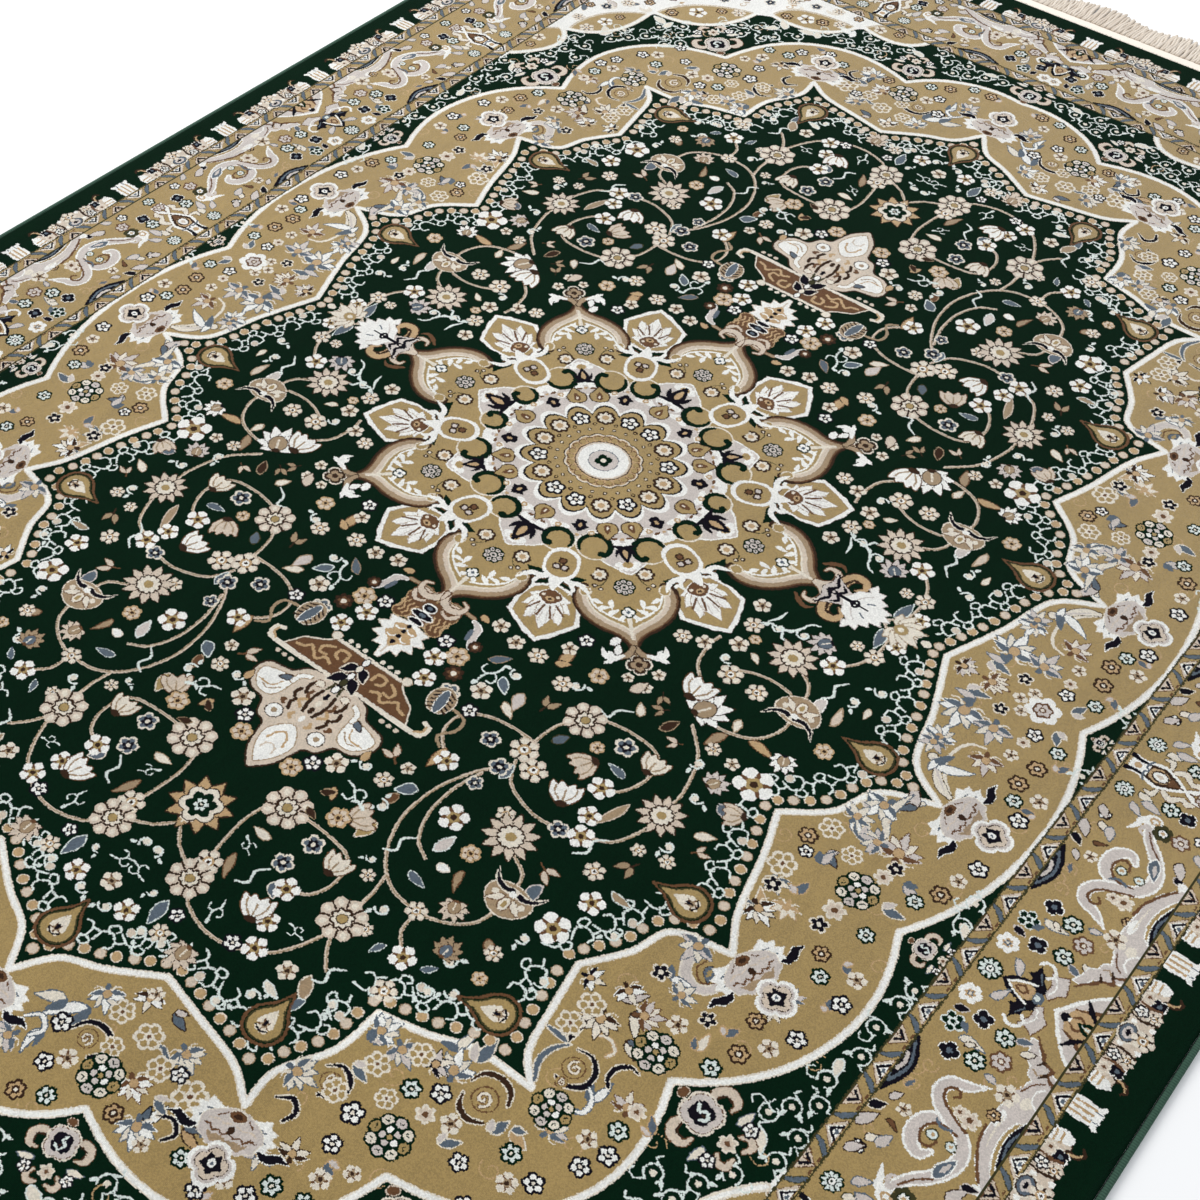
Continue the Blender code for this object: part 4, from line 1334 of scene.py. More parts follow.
def ring(reach, yarn, count=0, depth=0.0, sharp=1.0, turn=0.0, rim=None, width=2):
    """A round or lobed patch about the rug's middle."""
    ROSE.shape(lobes(count, reach, depth, sharp, turn), yarn, rim, width, rounded=False)


def beside(path, gap):
    """The same path, shifted sideways."""
    p = smooth(path)
    way = np.gradient(p, axis=0)
    way /= np.hypot(*way.T)[:, None]
    return p + gap * np.stack([-way[:, 1], way[:, 0]], 1)


def big_petal(turn, out):
    """A petal of the medallion: two leaves that curl inwards and meet at its point."""
    n = Needle(turn=turn, stretch=ROUND).at(0, out)
    edge = [(2, 356), (6, 338), (18, 323), (38, 310), (56, 292), (66, 270), (66, 250), (60, 236), (49, 234),
            (46, 243)]
    n.shape(edge[:8] + [(40, 222), (0.0, 190)], "gold", mirror=True)
    for hand in (1, -1):
        h = n.at(0, 0, flip=hand)
        for gap, width, yarn in ((-16.5, 4, "cream"), (-12, 8, "beige"), (-6, 8, "tan"), (-1, 3.4, "brown"),
                                 (1.4, 3.4, "bark")):
            band = beside(edge[:8], gap)
            band[:, 0] = np.maximum(band[:, 0], 0.0)
            h.line(band, np.interp(np.linspace(0, 1, len(band)), [0, 0.12, 0.9, 1],
                                   [0.5, 1, 1, 0.7]) * width, yarn, rounded=False)
        h.line(edge[6:], (4.4, 4.4, 4, 1.5), "bark")
        h.oval(51.5, 246.5, 6.5, 7.5, "gold", rim="cream", width=1.6)
        for u, v, lean, long in ((45, 262, -84, 15), (38, 278, -118, 16), (26, 290, -146, 18),
                                 (11, 299, -166, 15)):
            h.at(u, v, lean).leaf(long, 8, "snow", bend=0.35)
        h.line([(47, 256), (44, 268), (37, 279), (24, 290), (8, 300)], 3, "snow")
        h.at(18, 262, 30).leaf(17, 8, "snow", bend=-0.4)
        h.line([(22, 228), (29, 236), (37, 238)], 1.4, "olive")
        h.oval(38, 237, 3.8, 3.8, "bark").oval(38, 237, 1.8, 1.8, "cream")
        h.oval(31, 243, 3.4, 3.4, "bark").oval(31, 243, 1.6, 1.6, "cream")
        h.flower("ringed", 13, 30, 217)
    n.line([(0, 296), (0, 312), (0, 330)], (6, 5, 3), "cream")
    for h in (n, n.at(0, 0, flip=-1)):
        if turn % 90:
            h.line([(1, 344), (9, 356), (20, 360)], (6, 8, 7), "tan", rim="bark", rim_width=1.4)
            h.line([(16, 358), (28, 362), (38, 356), (40, 344)], (5, 9, 9, 2), "snow")
            h.at(29, 362, 40).leaf(15, 8, "snow", 0.3)
            h.at(26, 358, 120).leaf(12, 7, "snow", 0.3)
        else:
            h.line([(1, 336), (5, 348), (18, 356), (32, 350), (34, 338), (26, 334)], (9, 10, 10, 9, 6, 3),
                   "beige", rim="brown", rim_width=1.4)
    m = n.at(0, 240)
    m.shape(lobes(8, 15, 0.1, 0.7), "green", rounded=False)
    for number in range(8):
        m.at(0, 0, 45 * number).oval(0, 9.8, 3, 3.4, "silver")
        m.at(0, 0, 45 * number).oval(0, 9.8, 1.1, 1.3, "green")
    m.oval(0, 0, 5, 5, "silver").oval(0, 0, 2.2, 2.2, "green")
    n.flower("quatrefoil", 10.5, 0, 284)


def bud(turn, out):
    """A five-cornered bud between two petals, outlined in white, with a white fan inside."""
    n = Needle(turn=turn, stretch=ROUND).at(0, out)
    n.shape([(0, 343), (10, 335), (18, 331), (27, 320), (36, 312), (48, 298), (45, 288), (43, 274),
             (35, 262), (31, 246), (0, 236)], "snow", "bark", 0.8, mirror=True, rounded=False)
    n.shape([(0, 334), (20, 318), (40, 298), (36, 272), (24, 250), (0, 240)], "gold", "tan", 1, mirror=True,
            rounded=False)
    for lean, long, wide in ((-88, 28, 15), (-56, 38, 19), (56, 38, 19), (88, 28, 15), (-28, 50, 22),
                             (28, 50, 22), (0, 58, 24)):
        n.at(0, 262, lean).leaf(long, wide, "snow", rim="tan", rim_width=1)
    for lean in (-42, -14, 14, 42):
        n.at(0, 262, lean).line([(0, 16), (0, 36)], 3, "brown", rounded=False)
        n.at(0, 262, 0.5 * lean).line([(0, 28), (0, 44)], 1.6, "silver", rounded=False)
    n.shape([(0, 274), (8, 270), (15, 262), (12, 254), (0, 248)], "brown", "snow", 1.2, mirror=True)
    n.oval(0, 265, 6, 4.2, "camel").oval(0, 265, 2.8, 2, "bark")
    for u in (-9.5, 9.5):
        n.oval(u, 259, 2.4, 2.4, "cream")


def onion(turn, out):
    """A small white-edged oval that hangs between two scrolls, with white tails beyond it."""
    n = Needle(turn=turn, stretch=ROUND).at(0, out)
    for h in (n, n.at(0, 0, flip=-1)):
        h.line([(6, 228), (18, 236), (31, 235), (40, 240), (49, 250)], (8, 9, 8, 7, 2), "snow")
        h.line([(12, 240), (22, 243), (30, 241)], 1.8, "brown")
        h.line([(20, 238), (26, 248), (23, 257)], (6, 6, 2), "snow")
    n.shape([(0, 258), (6, 248), (9, 236), (0, 230)], "snow", mirror=True)
    n.shape([(0, 238), (13, 234), (22.5, 222), (23.5, 202), (18, 184), (0, 176)], "snow", mirror=True)
    n.shape([(0, 230.5), (11, 227), (17.5, 218), (18.5, 203), (13.5, 189.5), (0, 183.5)], "gold", "tan",
            0.8, mirror=True)
    for u, v in ((-5.5, 213), (5.5, 213), (0, 201)):
        n.shape(lobes(4, 6.6, 0.18, 0.7, 45) + (u, v), "bark", rounded=False)
        n.oval(u, v, 3.6, 3.6, "silver" if v > 210 else "brown")


def open_scroll(turn, hand, reach, out):
    """An open scroll: a gold disc edged in green and white, open towards the oval beside it."""
    n = Needle(turn=turn, stretch=ROUND).at(0, out, flip=hand)
    n.oval(0, 0, reach + 4.5, reach + 4.5, "cream")
    n.oval(0, 0, reach + 2, reach + 2, "gold")
    a = np.radians(np.linspace(42, 292, 24))
    n.line(np.stack([reach * np.sin(a), reach * np.cos(a)], 1), (7, 8.5, 8.5, 7.8, 6.5, 4.5), "green")
    n.oval(reach * 0.5, reach * 0.62, 6, 5.2, "green")


def lotus(n, size=1.0):
    """A black lotus with pointed side leaves and pale veins."""
    m = n.at(0, 0, size=size)
    for hand in (1, -1):
        h = m.at(0, 0, flip=hand)
        h.line([(3, 0.0), (12, -1), (22, -4)], (7, 6, 1), "black")
        h.line([(4, 4), (12, 9), (16, 20)], (8, 7, 2), "black")
        h.line([(3, 6), (8, 10), (10, 17)], (1.6, 1.6, 1), "tan")
    m.shape([(0, 36), (6, 26), (10, 14), (6, 2), (0, 0.0)], "black", mirror=True)
    m.shape([(0, 26), (3.6, 18), (3.6, 10), (0, 5)], "camel", mirror=True)


def arrowhead(n, size=1.0):
    """A small black arrowhead with a pale eye."""
    m = n.at(0, 0, size=size)
    m.shape([(0, 14), (12, 2), (6.5, -1), (7, -8), (0, -10)], "black", mirror=True, rounded=False)
    m.oval(0, 1, 2.4, 3.6, "camel")


def palmette(n, size=1.0):
    """A small gold palmette in a brown edge, round at the foot."""
    m = n.at(0, 0, size=size)
    m.shape([(0, 20), (7, 11), (13, 4), (11, -7), (0, -11)], "gold", rim="bark", width=1.8, mirror=True)
    m.shape([(0, 10), (4.5, 2), (4, -5), (0, -7)], "brown", mirror=True)
    m.oval(0, -1, 1.6, 3, "cream")


ring(236, "gold", 8, 0.04, 1.0, 0)
bud(21.5, 14)
bud(63.7, 0.0)
for turn, out in ((0, 6), (90, 4), (42.2, 0.0)):
    big_petal(turn, out)

# The silver field of the medallion, with white clouds and its dark palmettes.
ring(176, "snow", 8, 0.05, 1.0, 0)
ring(170, "silver", 8, 0.05, 1.0, 0)
for turn in (0, 45, 90):
    n = Needle(turn=turn, stretch=ROUND)
    n.shape([(0, 216), (14, 206), (30, 192), (40, 168), (0, 140)], "silver", rim="snow", width=2.4,
            mirror=True)
for turn in (0, 22.5, 45, 67.5, 90):
    n = Needle(turn=turn, stretch=ROUND)
    for u, v, wide, long in ((0.0, 166, 16, 6), (12, 158, 9, 8), (-12, 158, 9, 8), (22, 142, 10, 5),
                             (-22, 142, 10, 5)):
        n.oval(u, v, wide, long, "snow")
    n.oval(10, 152, 4.5, 2, "brown").oval(-10, 152, 4.5, 2, "brown")
    n.oval(0.0, 153, 3, 2.4, "camel")
for turn, hand, out, reach in ((15.2, -1, 170, 19), (31.9, 1, 169, 21), (55.5, -1, 178.5, 21),
                               (77.5, 1, 167, 16.5)):
    open_scroll(turn, hand, reach, out)
for turn, out in ((21.0, 6), (65.5, 0.0)):
    n = Needle(turn=turn, stretch=ROUND)
    n.shape([(0, 206), (30, 200), (44, 208), (34, 224), (0, 236)], "gold", mirror=True)
    onion(turn, out)
for turn, size in ((0, 1.1), (90, 1.1), (45, 0.8)):
    n = Needle(turn=turn, stretch=ROUND)
    for lean in (-60, -36, -12, 12, 36, 60):
        n.at(0, 192, lean).at(0, 10).oval(0, 4, 4.2, 5.8, "snow")
    n.oval(0, 200, 6, 5, "gold", rim="camel", width=1)
    lotus(n.at(0, 168), size)
for turn in (0, 38, 52, 90):
    palmette(Needle(turn=turn, stretch=ROUND).at(0, 134), 1.0)
for turn in (22.5, 67.5):
    arrowhead(Needle(turn=turn, stretch=ROUND).at(0, 133), 1.05)
for turn in (11.25, 29.5, 60.5, 78.75):
    n = Needle(turn=turn, stretch=ROUND)
    n.oval(0, 145, 4.5, 4.5, "camel").oval(0, 145, 2.2, 2.2, "cream")

# The gold sunflower in the middle: sixteen petals, a ring of flowers, and a white eye.
ring(124, "snow", 16, 0.17, 0.8, 11.25)
ring(116.5, "black", 16, 0.17, 0.8, 11.25)
ring(113, "gold", 16, 0.17, 0.8, 11.25)
for number, turn in enumerate(np.arange(11.25, 90, 22.5)):
    n = Needle(turn=turn, stretch=ROUND)
    n.flower("ringed" if number % 2 else "black", 15, 0, 89.5)
for turn in np.arange(0, 91, 22.5):
    n = Needle(turn=turn, stretch=ROUND)
    n.oval(0, 76, 3, 3.6, "bark").oval(0, 76, 1.4, 1.8, "gold")
for turn in np.arange(7.5, 90, 15):
    n = Needle(turn=turn, stretch=ROUND)
    n.oval(0, 65.5, 3, 3, "bark").oval(0, 65.5, 1.4, 1.4, "cream")
ring(56, "bark", 16, 0.06)
ring(54.5, "cream", 16, 0.06)
ring(52.5, "camel", 16, 0.06)
for turn in np.arange(0, 91, 15):
    n = Needle(turn=turn, stretch=ROUND)
    n.oval(0, 46, 5.6, 5.2, "brown").oval(0, 45, 4.6, 4.4, "gold")
ring(39.5, "bark")
ring(38, "beige")
ring(35, "snow")
ring(21.5, "slate", 8, 0.05)
ring(20, "silver")
ring(12.5, "green", 4, 0.35, 0.6, 45)
ring(4, "cream")


def finial(n):
    """The spiky white palmette, leaves and tulip that grow out of each side petal."""
    for h in (n, n.at(0, 0, flip=-1)):
        h.line([(34, 330), (42, 340), (46, 352), (40, 360)], (4, 7, 6, 2), "brown")
        h.line([(12, 372), (26, 368), (40, 376), (40, 390), (28, 394), (20, 386)], (8, 14, 15, 12, 7, 3),
               "camel", rim="bark", rim_width=1.8)
        h.line([(20, 370), (34, 376), (35, 386)], (4, 3), "bark")
        h.shape([(0.0, 350), (14, 356), (30, 354), (20, 370), (12, 386), (0.0, 392)], "silver", "bark", 1,
                rounded=False)
        h.line([(1, 358), (10, 366), (20, 361), (30, 357)], (4, 5, 5, 2), "black")
        h.line([(1, 372), (9, 378), (17, 370)], (4, 5, 2), "black")
        h.shape([(0.0, 378), (10, 386), (22, 390), (30, 404), (34, 398), (46, 404), (36, 410), (38, 420),
                 (28, 418), (24, 430), (16, 426), (13, 442), (6, 436), (0, 448)], "snow", "silver", 1,
                rounded=False)
        h.line([(8, 396), (18, 402), (26, 410)], 1.8, "silver")
        h.line([(0.0, 392), (6, 398), (0.0, 404)], (5, 3), "black")
        h.line([(10, 410), (14, 418)], 2.2, "slate")
        h.at(14, 446, 60).leaf(34, 14, "slate", 0.3, "ice", 1.2)
        for lean, long in ((96, 24), (62, 32), (34, 36), (10, 38)):
            h.at(1, 458, lean).leaf(long, 15, "cream", 0.15, "tan", 1)
    n.line([(0, 366), (0, 388), (0, 416)], (6, 5, 2), "black")
    n.oval(0, 366, 4, 6, "black").oval(0, 366, 1.6, 2.6, "silver")
    n.oval(0, 464, 8.5, 8.5, "gold", rim="tan", width=1).oval(0, 464, 4, 4, "cream")
    n.oval(0, 500, 5.5, 7, "cream")


finial(Needle(turn=90))


# BORDERS
# The main border of vases, arches and scrolls between two narrow guards, and the broken edge of flowers, in
# cut pile. In a border's needle u is the distance from the rug's middle line, and v goes along the border.


def side_border(y=0.0, back=False):
    """The needle of a side border, from the cross axis to the corner, or facing back."""
    return Needle(0, y, 180 if back else 0, flip=-1 if back else 1)


def end_border(x=0.0, back=False):
    """The needle of an end border, from the long axis to the corner, or facing back."""
    return Needle(x, BAND_OFFSET, -90 if back else 90, flip=1 if back else -1)


def both_ways(n, along=0.0):
    """The needle at a spot along its border, and the same needle facing back."""
    return n.at(0, along), n.at(0, along, 180, flip=-1)


# flower, across, along, reach
REPEAT_FLOWERS = [
    ("daisy", 787.5, 43, 12.5), ("green", 842, 36, 12.5), ("navy", 863, 37, 11.5), ("mossy", 850, 74, 12.5),
    ("blush", 871, 73, 12), ("black", 889, 57, 10), ("navy", 803, 246, 12), ("green", 829, 253, 13),
    ("blush", 850, 270, 13), ("pine", 789, 279, 13.5), ("navy", 812, 302, 12), ("green", 840, 297, 12.5),
    ("fleece", 786, 321, 13.5), ("pale", 858, 190, 12), ("white", 873, 240, 13), ("daisy", 787, 362, 14.5),
    ("white", 802, 157, 8.5), ("black", 787, 92, 9), ("pale", 846, 192, 8), ("brown", 873.5, 211, 8.5),
]
# across, along, turn, length, width, bend, yarn, rim
REPEAT_LEAVES = [
    (803, 36, 60, 18, 10, 0.3, "cream", "olive"),
    (811, 48, 100, 24, 11, -0.3, "silver", "slate"),
    (803, 54, 30, 20, 10, 0.3, "silver", "slate"),
    (779, 80, 20, 20, 11, 0.3, "silver", "bark"),
    (789, 103, 20, 16, 10, 0.4, "cream", "bark"),
    (802, 104, 0, 20, 12, 0.3, "silver", "slate"),
    (773, 112, 10, 26, 13, 0.3, "silver", "bark"),
    (773, 137, 25, 18, 11, 0.3, "black", "cream"),
    (794, 136, 80, 14, 6, 0.6, "brown", "bark"),
    (803, 266, 60, 26, 11, 0.5, "cream", "slate"),
    (797, 285, 120, 12, 6, 0.2, "slate", "slate"),
    (781, 296, 70, 16, 9, 0.0, "black", "silver"),
    (803, 332, 60, 22, 10, -0.5, "silver", "slate"),
    (850, 301, 50, 18, 8, 0.2, "slate", "silver"),
    (884, 98, 0, 24, 13, 0.4, "silver", "bark"),
    (887, 120, 40, 16, 9, 0.4, "black", "silver"),
    (812, 262, 40, 12, 6, 0.2, "cream", "bark"),
    (784, 158, 20, 16, 8, 0.2, "silver", "bark"),
    (845, 246, 90, 14, 7, 0.2, "silver", "slate"),
    (893, 76, 20, 16, 9, 0.3, "silver", "slate"),
    (862, 290, 40, 16, 8, 0.2, "cream", "bark"),
    (790, 180, 0, 14, 6, 0.3, "slate", "camel"),
]


def white_scroll(n):
    """The S of white spirals that lies between a vase and an arch."""
    stem = [(831, 70), (842, 92), (858, 110), (869, 130), (871, 150), (861, 168), (843, 177), (826, 187),
            (818, 202), (824, 216), (840, 223), (857, 236)]
    branch = [(838, 174), (824, 165), (819, 148), (824, 132), (836, 125), (845, 134)]
    branch_widths = (12, 16, 18, 18, 15, 8)
    stem_widths = (10, 14, 16, 17, 18, 17, 16, 16, 16, 16, 13, 2)
    for path, width in ((branch, branch_widths), (stem, stem_widths)):
        n.line(path, width, "snow")
        n.line(path, np.array(width) - 5.4, "silver")
    n.line([(857, 166), (840, 168), (829, 160), (826, 148), (832, 137), (841, 139), (844, 148)], 3.2,
           "brown")
    n.line([(862, 175), (842, 184), (827, 194), (823, 206), (831, 213), (838, 208), (834, 202)], 3.4,
           "brown")
    n.line([(838, 83), (848, 98), (862, 111)], 2.4, "brown")
    n.at(860, 112, 12).leaf(32, 12.5, "slate", bend=0.12, rim="snow")
    n.at(863, 120, 12).leaf(18, 5.5, "silver", bend=0.12)
    for u, v, reach in ((837, 152, 7), (858, 152, 6.5)):
        n.oval(u, v, reach, reach, "olive").oval(u, v, 0.75 * reach, 0.75 * reach, "ice")
        n.oval(u, v, 0.3 * reach, 0.3 * reach, "camel")
    n.line([(832, 170), (840, 165), (850, 168)], 3.5, "slate")
    # its tulip head
    n.line([(834, 66), (823, 70), (821, 80), (815, 92)], (12, 9, 7, 2), "snow")
    n.line([(832, 74), (827, 84), (832, 90)], (6, 3), "silver")
    n.oval(835, 64, 10.5, 9, "snow").oval(836, 64, 6.5, 5.5, "camel").oval(836, 64, 3, 3, "snow")


def vase(n):
    """The vase palmette that starts each repeat, its left and right halves alike."""
    for h in both_ways(n):
        h.line([(806, 29), (814, 30), (817, 20)], (3, 7, 4), "cream", rim="bark", rim_width=1)
        h.line([(824, 18), (834, 23), (845, 14), (854, 17), (860, 10)], (6, 9, 6, 8, 5), "cream",
               rim="brown", rim_width=1.1)
        h.line([(846, 2), (858, 7), (872, 9)], (4, 9, 3), "snow", rim="brown", rim_width=1.1)
        h.shape([(790, -1), (792, 15), (812, 20), (830, 12), (849, -1)], "snow", rounded=False)
        h.shape([(794, -1), (796, 11), (812, 15.5), (829, 8), (841, -1)], "bark", rounded=False)
        h.shape([(798, -1), (800, 8), (811, 11.5), (821, 6), (823, -1)], "camel", rounded=False)
        h.shape([(774, -1), (775, 15), (788, 13), (798, 16), (797, -1)], "snow", rounded=False)
        h.line([(774, 11.5), (784, 9), (797, 10)], (7, 4.5, 3), "black")
        h.line([(797, 16), (793, 6), (797, -1)], 2.6, "slate")
    n.shape([(823, -7.5), (839, 0), (823, 7.5)], "brown", rounded=False)
    n.oval(812, 0, 10.5, 9, "bark").oval(812, 0, 8.5, 7, "snow").oval(812, 0, 4, 3.4, "beige")
    n.oval(784, 0, 4.5, 5, "camel")
    n.flower("blush", 11, 866, 0).flower("green", 11, 889, 0)


def arch(n):
    """The ivory arch that rises from the outer guard in the middle of each repeat, with its palmette."""
    for h in both_ways(n, 362):
        h.shape([(905, -232), (894, -222), (883, -205), (877, -185), (876, -160), (874, -140), (876, -115),
                 (882, -100), (885, -90), (878, -86), (876, -76), (868, -70), (866, -58), (861, -46),
                 (870, -46), (877, -60), (889, -66), (905, -76), (905, -137), (895, -143), (890, -160),
                 (890, -176), (893, -192), (899, -208), (905, -216)], "silver", "snow", 1.6, rounded=False)
        h.oval(880, -150, 4.5, 12, "snow")
        h.oval(893, -118, 6, 8, "cream")
        h.line([(884, -186), (882, -165), (882, -146)], 1.8, "cream")
        h.line([(882, -108), (888, -94), (896, -86)], 1.8, "brown")
        h.line([(880, -78), (886, -82), (890, -76)], 1.8, "tan")
        h.line([(897, -225), (886, -208), (876, -185), (873, -165)], 3.4, "brown")
        h.oval(899, -234, 6, 6, "snow")
        h.shape([(905, -200), (899, -188), (896, -168), (899, -150), (905, -140)], "black", "snow", 1.2)
        h.line([(904, -188), (900, -170), (903, -152)], (2, 3, 2), "slate")
        h.line([(905, -120), (896, -112), (894, -100), (900, -92)], 2.2, "snow")
        h.flower("white", 13.5, 873, -122)
        h.line([(906, -84), (893, -76), (897, -68), (885, -64), (880, -56), (872, -48), (866, -40)],
               (6, 3, 5, 3, 5, 3, 2), "brown", rounded=False)
        h.line([(893, -76), (888, -84)], (4, 1), "bark", rounded=False)
        h.line([(885, -64), (880, -72)], (4, 1), "bark", rounded=False)
        h.shape([(905, -56), (892, -44), (878, -26), (862, 1), (905, 1)], "snow", rounded=False)
        h.shape([(905, -50), (893, -40), (881, -22), (867, 1), (905, 1)], "silver", rounded=False)
        h.shape([(905, -30), (890, -22), (880, -14), (874, 1), (905, 1)], "camel", rounded=False)
        h.line([(881, -16), (890, -19), (905, -28)], (2, 4, 5), "brown")
        h.line([(887, -34), (894, -24), (904, -14)], (2, 7, 4), "black")
        h.line([(883, -4), (890, -9), (897, -4)], (2, 4, 2), "brown")
        h.line([(892, 1), (899, -5), (905, -6)], 5, "green")
        h.line([(895, 1), (905, -2)], 1.8, "ice", rounded=False)
        # the palmette of black leaves in front of the arch
        h.shape([(841, -40), (849, -38), (858, -44), (862, -34), (865, -22), (858, -16), (853, -6),
                 (846, -10), (848, -24)], "silver", "brown", 1.3, rounded=False)
        h.line([(847, -36), (853, -24), (850, -12)], 2, "snow")
        h.line([(826, -41), (832, -47), (841, -45), (845, -36), (840, -29)], 4, "snow")
        h.shape([(829, -41), (833, -33), (838, -30), (839, -23), (847, -16), (846, -6), (840, -5),
                 (833, -10), (826, -14), (827, -19), (820, -23), (826, -28)], "black", rounded=False)
        h.line([(833, -30), (839, -18)], 1.6, "slate", rounded=False)
        h.line([(804, 0), (812, -7), (824, -13)], (4, 6, 4), "black")
        h.line([(809, 0), (820, -8), (836, -14)], 2.6, "snow")
        h.shape([(812, 1), (823, -7), (836, -10), (838, 1)], "camel", rounded=False)
        h.line([(818, 0), (826, -5), (832, 0)], 2.8, "brown")
    n.oval(844, 362, 6, 8, "slate").oval(843, 362, 3, 4, "ice")
    n.oval(876, 362, 5, 6, "black").oval(881, 362, 2, 2.5, "snow")


def repeat(n):
    """From a vase to an arch: 362 mm of the main border."""
    for across, along in ((800, 192), (805, 222), (795, 210), (862, 246), (880, 262), (796, 120)):
        n.at(across, along, 160).curl(10, 1.1, 1.6, "camel")
    n.shape([(770, 238), (779, 228), (786, 210), (785, 190), (778, 172), (770, 164)], "black")
    n.shape([(771, 231), (778, 220), (782, 206), (780, 190), (771, 174)], "slate")
    n.shape([(771, 226), (776, 216), (779, 204), (777, 192), (771, 181)], "black")
    n.line([(772, 216), (775, 204), (772, 192)], 4, "silver")
    white_scroll(n)
    for kind, across, along, reach in REPEAT_FLOWERS:
        n.flower(kind, reach, across, along, 7 * along % 60)
    for across, along, turn, length, width, bend, yarn, rim in REPEAT_LEAVES:
        n.at(across, along, turn).leaf(length, width, yarn, bend, rim, 1.2)


def guard(n, inner, count):
    """A narrow band: white triangles and brown ones take turns between bars of slate."""
    for number in range(count):
        m = n.at(inner, 90.5 * number)
        m.shape([(0.0, 0), (15.5, 18.5), (15.5, -18.5)], "beige", "brown", 0.6, rounded=False)
        for h in both_ways(m):
            h.line([(0.5, 16), (8, 20), (16.5, 29)], (3.5, 6.2, 4), "slate", rim="olive", rim_width=0.9)
            h.shape([(0.0, 31), (15, 45.3), (0.0, 46)], "beige", "brown", 1.1, rounded=False)
            h.line([(2, 38.5), (9.5, 45.3)], 3.6, "black", rounded=False)
            h.line([(15, 34.5), (15, 39.5)], 2.2, "brown", rounded=False)
        m.shape([(1.8, 0), (15, 13), (15, -13)], "snow", rounded=False)
        m.line([(15, 9.5), (5.5, 0), (15, -9.5)], 3, "black", rounded=False)
        m.oval(12.5, 0, 2, 3.2, "slate")
        m.oval(4.5, 45.2, 2.2, 2.2, "cream")


def crown(n, step, count):
    """The broken edge of flowers that ends the pattern on the plain green rim."""
    for number in range(count):
        m = n.at(927, step * number)
        for h in both_ways(m):
            # the fluted tulip
            h.shape([(-1, -1), (-1, 13), (10, 14.5), (24, 12.5), (30, 16.5), (34, 15), (31, 8.5), (33, 4.5),
                     (31, -1)], "snow", rounded=False)
            for v in (0.0, 7.2):
                h.line([(1, v), (23, 1.1 * v)], 3, "camel", rounded=False)
            h.line([(24, 6), (31, 6)], 1.2, "slate", rounded=False)
            # the flowers from the tulip to the round
            h.shape([(0, 35), (10, 36), (22, 42), (24, 56), (26, 72), (24, 84), (28, 98), (28, 112),
                     (0, 112)], "beige", "bark", 1, rounded=False)
            h.shape([(0, 33), (13, 31), (24, 37), (20, 46), (0, 50)], "snow", rounded=False)
            h.line([(3, 36), (4, 49)], 2.5, "camel", rounded=False)
            h.line([(10, 35), (11, 48)], 2.5, "camel", rounded=False)
            h.line([(22, 54), (32, 52), (37, 45), (33, 40)], (7, 6, 5, 3), "bark")
            h.line([(24, 54), (32, 51), (35, 46)], (3, 2), "camel")
            h.flower("navy", 9.5, 19, 62).flower("pale", 8, 6, 58)
            h.line([(1, 68), (12, 70), (24, 67)], (2, 4, 3), "brown")
            h.flower("creamtan", 9.5, 21, 80).flower("black", 8.5, 7, 79)
            h.line([(1, 88), (12, 90), (27, 86)], (2, 4, 3), "bark")
            h.oval(6, 95.5, 3.5, 4, "snow").oval(26, 94.5, 3.5, 3.5, "snow")
    for number in range(count):
        m = n.at(927, step * (number + 0.5))
        m.oval(7, 0, 11.5, 15, "cream").oval(7, 0, 8.5, 11.5, "slate", rim="bark", width=1.2)
        m.oval(7, 0, 5.5, 8, "silver").oval(7, 0, 2.5, 4.5, "black")
        m.flower("creamtan", 13.8, 23.5, 0, 30)


def corner_rose(n):
    """The rose in sprays that hides where the side and end borders meet."""
    n.oval(0, 0, 46, 46, "gold")
    for turn in (0, 90, 180, 270):
        spray(n.at(0, 0, turn).at(0, 26), 0.95, "silver" if turn % 180 else "snow", "slate", 5, 110)
    for turn in (45, 135, 225, 315):
        n.at(0, 0, turn).flower("pine" if turn % 180 == 45 else "navy", 12.5, 0, 44)
    square_rose(n, 27)


def mitred(draw, band, part):
    """Draws a run of border and keeps only what falls in its own band and on its own side of the mitre."""
    before = chart.copy()
    draw()
    outside = ~(band & part)
    chart[outside] = before[outside]


REPEAT = 724
GUARDS = [{"inner": 750.5, "outer": 768}, {"inner": 906, "outer": 924.5}]
GUARD_EDGE = 0.5


def side_run():
    """The main border along a side: repeats that meet at vases and arches."""
    for start in (0.0, REPEAT, 2 * REPEAT):
        for n in (side_border(start), side_border(start, True)):
            repeat(n)
        vase(side_border(start))
        arch(side_border(start))


def end_run():
    """The main border along an end, where a repeat is a little shorter."""
    for start in (330, 990):
        for n in (end_border(start), end_border(start, True)):
            repeat(n)
        vase(end_border(start))
    for start in (-362, 298):
        arch(end_border(start))


side_part = x_mid[None, :] >= y_mid[:, None] - BAND_OFFSET
main = (depth >= 770.5) & (depth < 903.5)
mitred(side_run, main, side_part)
mitred(end_run, main, ~side_part)
for edges in GUARDS:
    band = (depth >= edges["inner"]) & (depth < edges["outer"])
    start = edges["inner"] + GUARD_EDGE
    mitred(lambda: guard(side_border(), start, 17), band, side_part)
    mitred(lambda: guard(end_border(45), start, 12), band, ~side_part)
corner_rose(CLOTH.at(837, 1335))
crown(side_border(), 223.5, 6)
crown(end_border(0.0), 200, 5)
for inner in (759.3, 915.3):
    CLOTH.flower("brown", 8.5, inner, inner + BAND_OFFSET)
small_things()

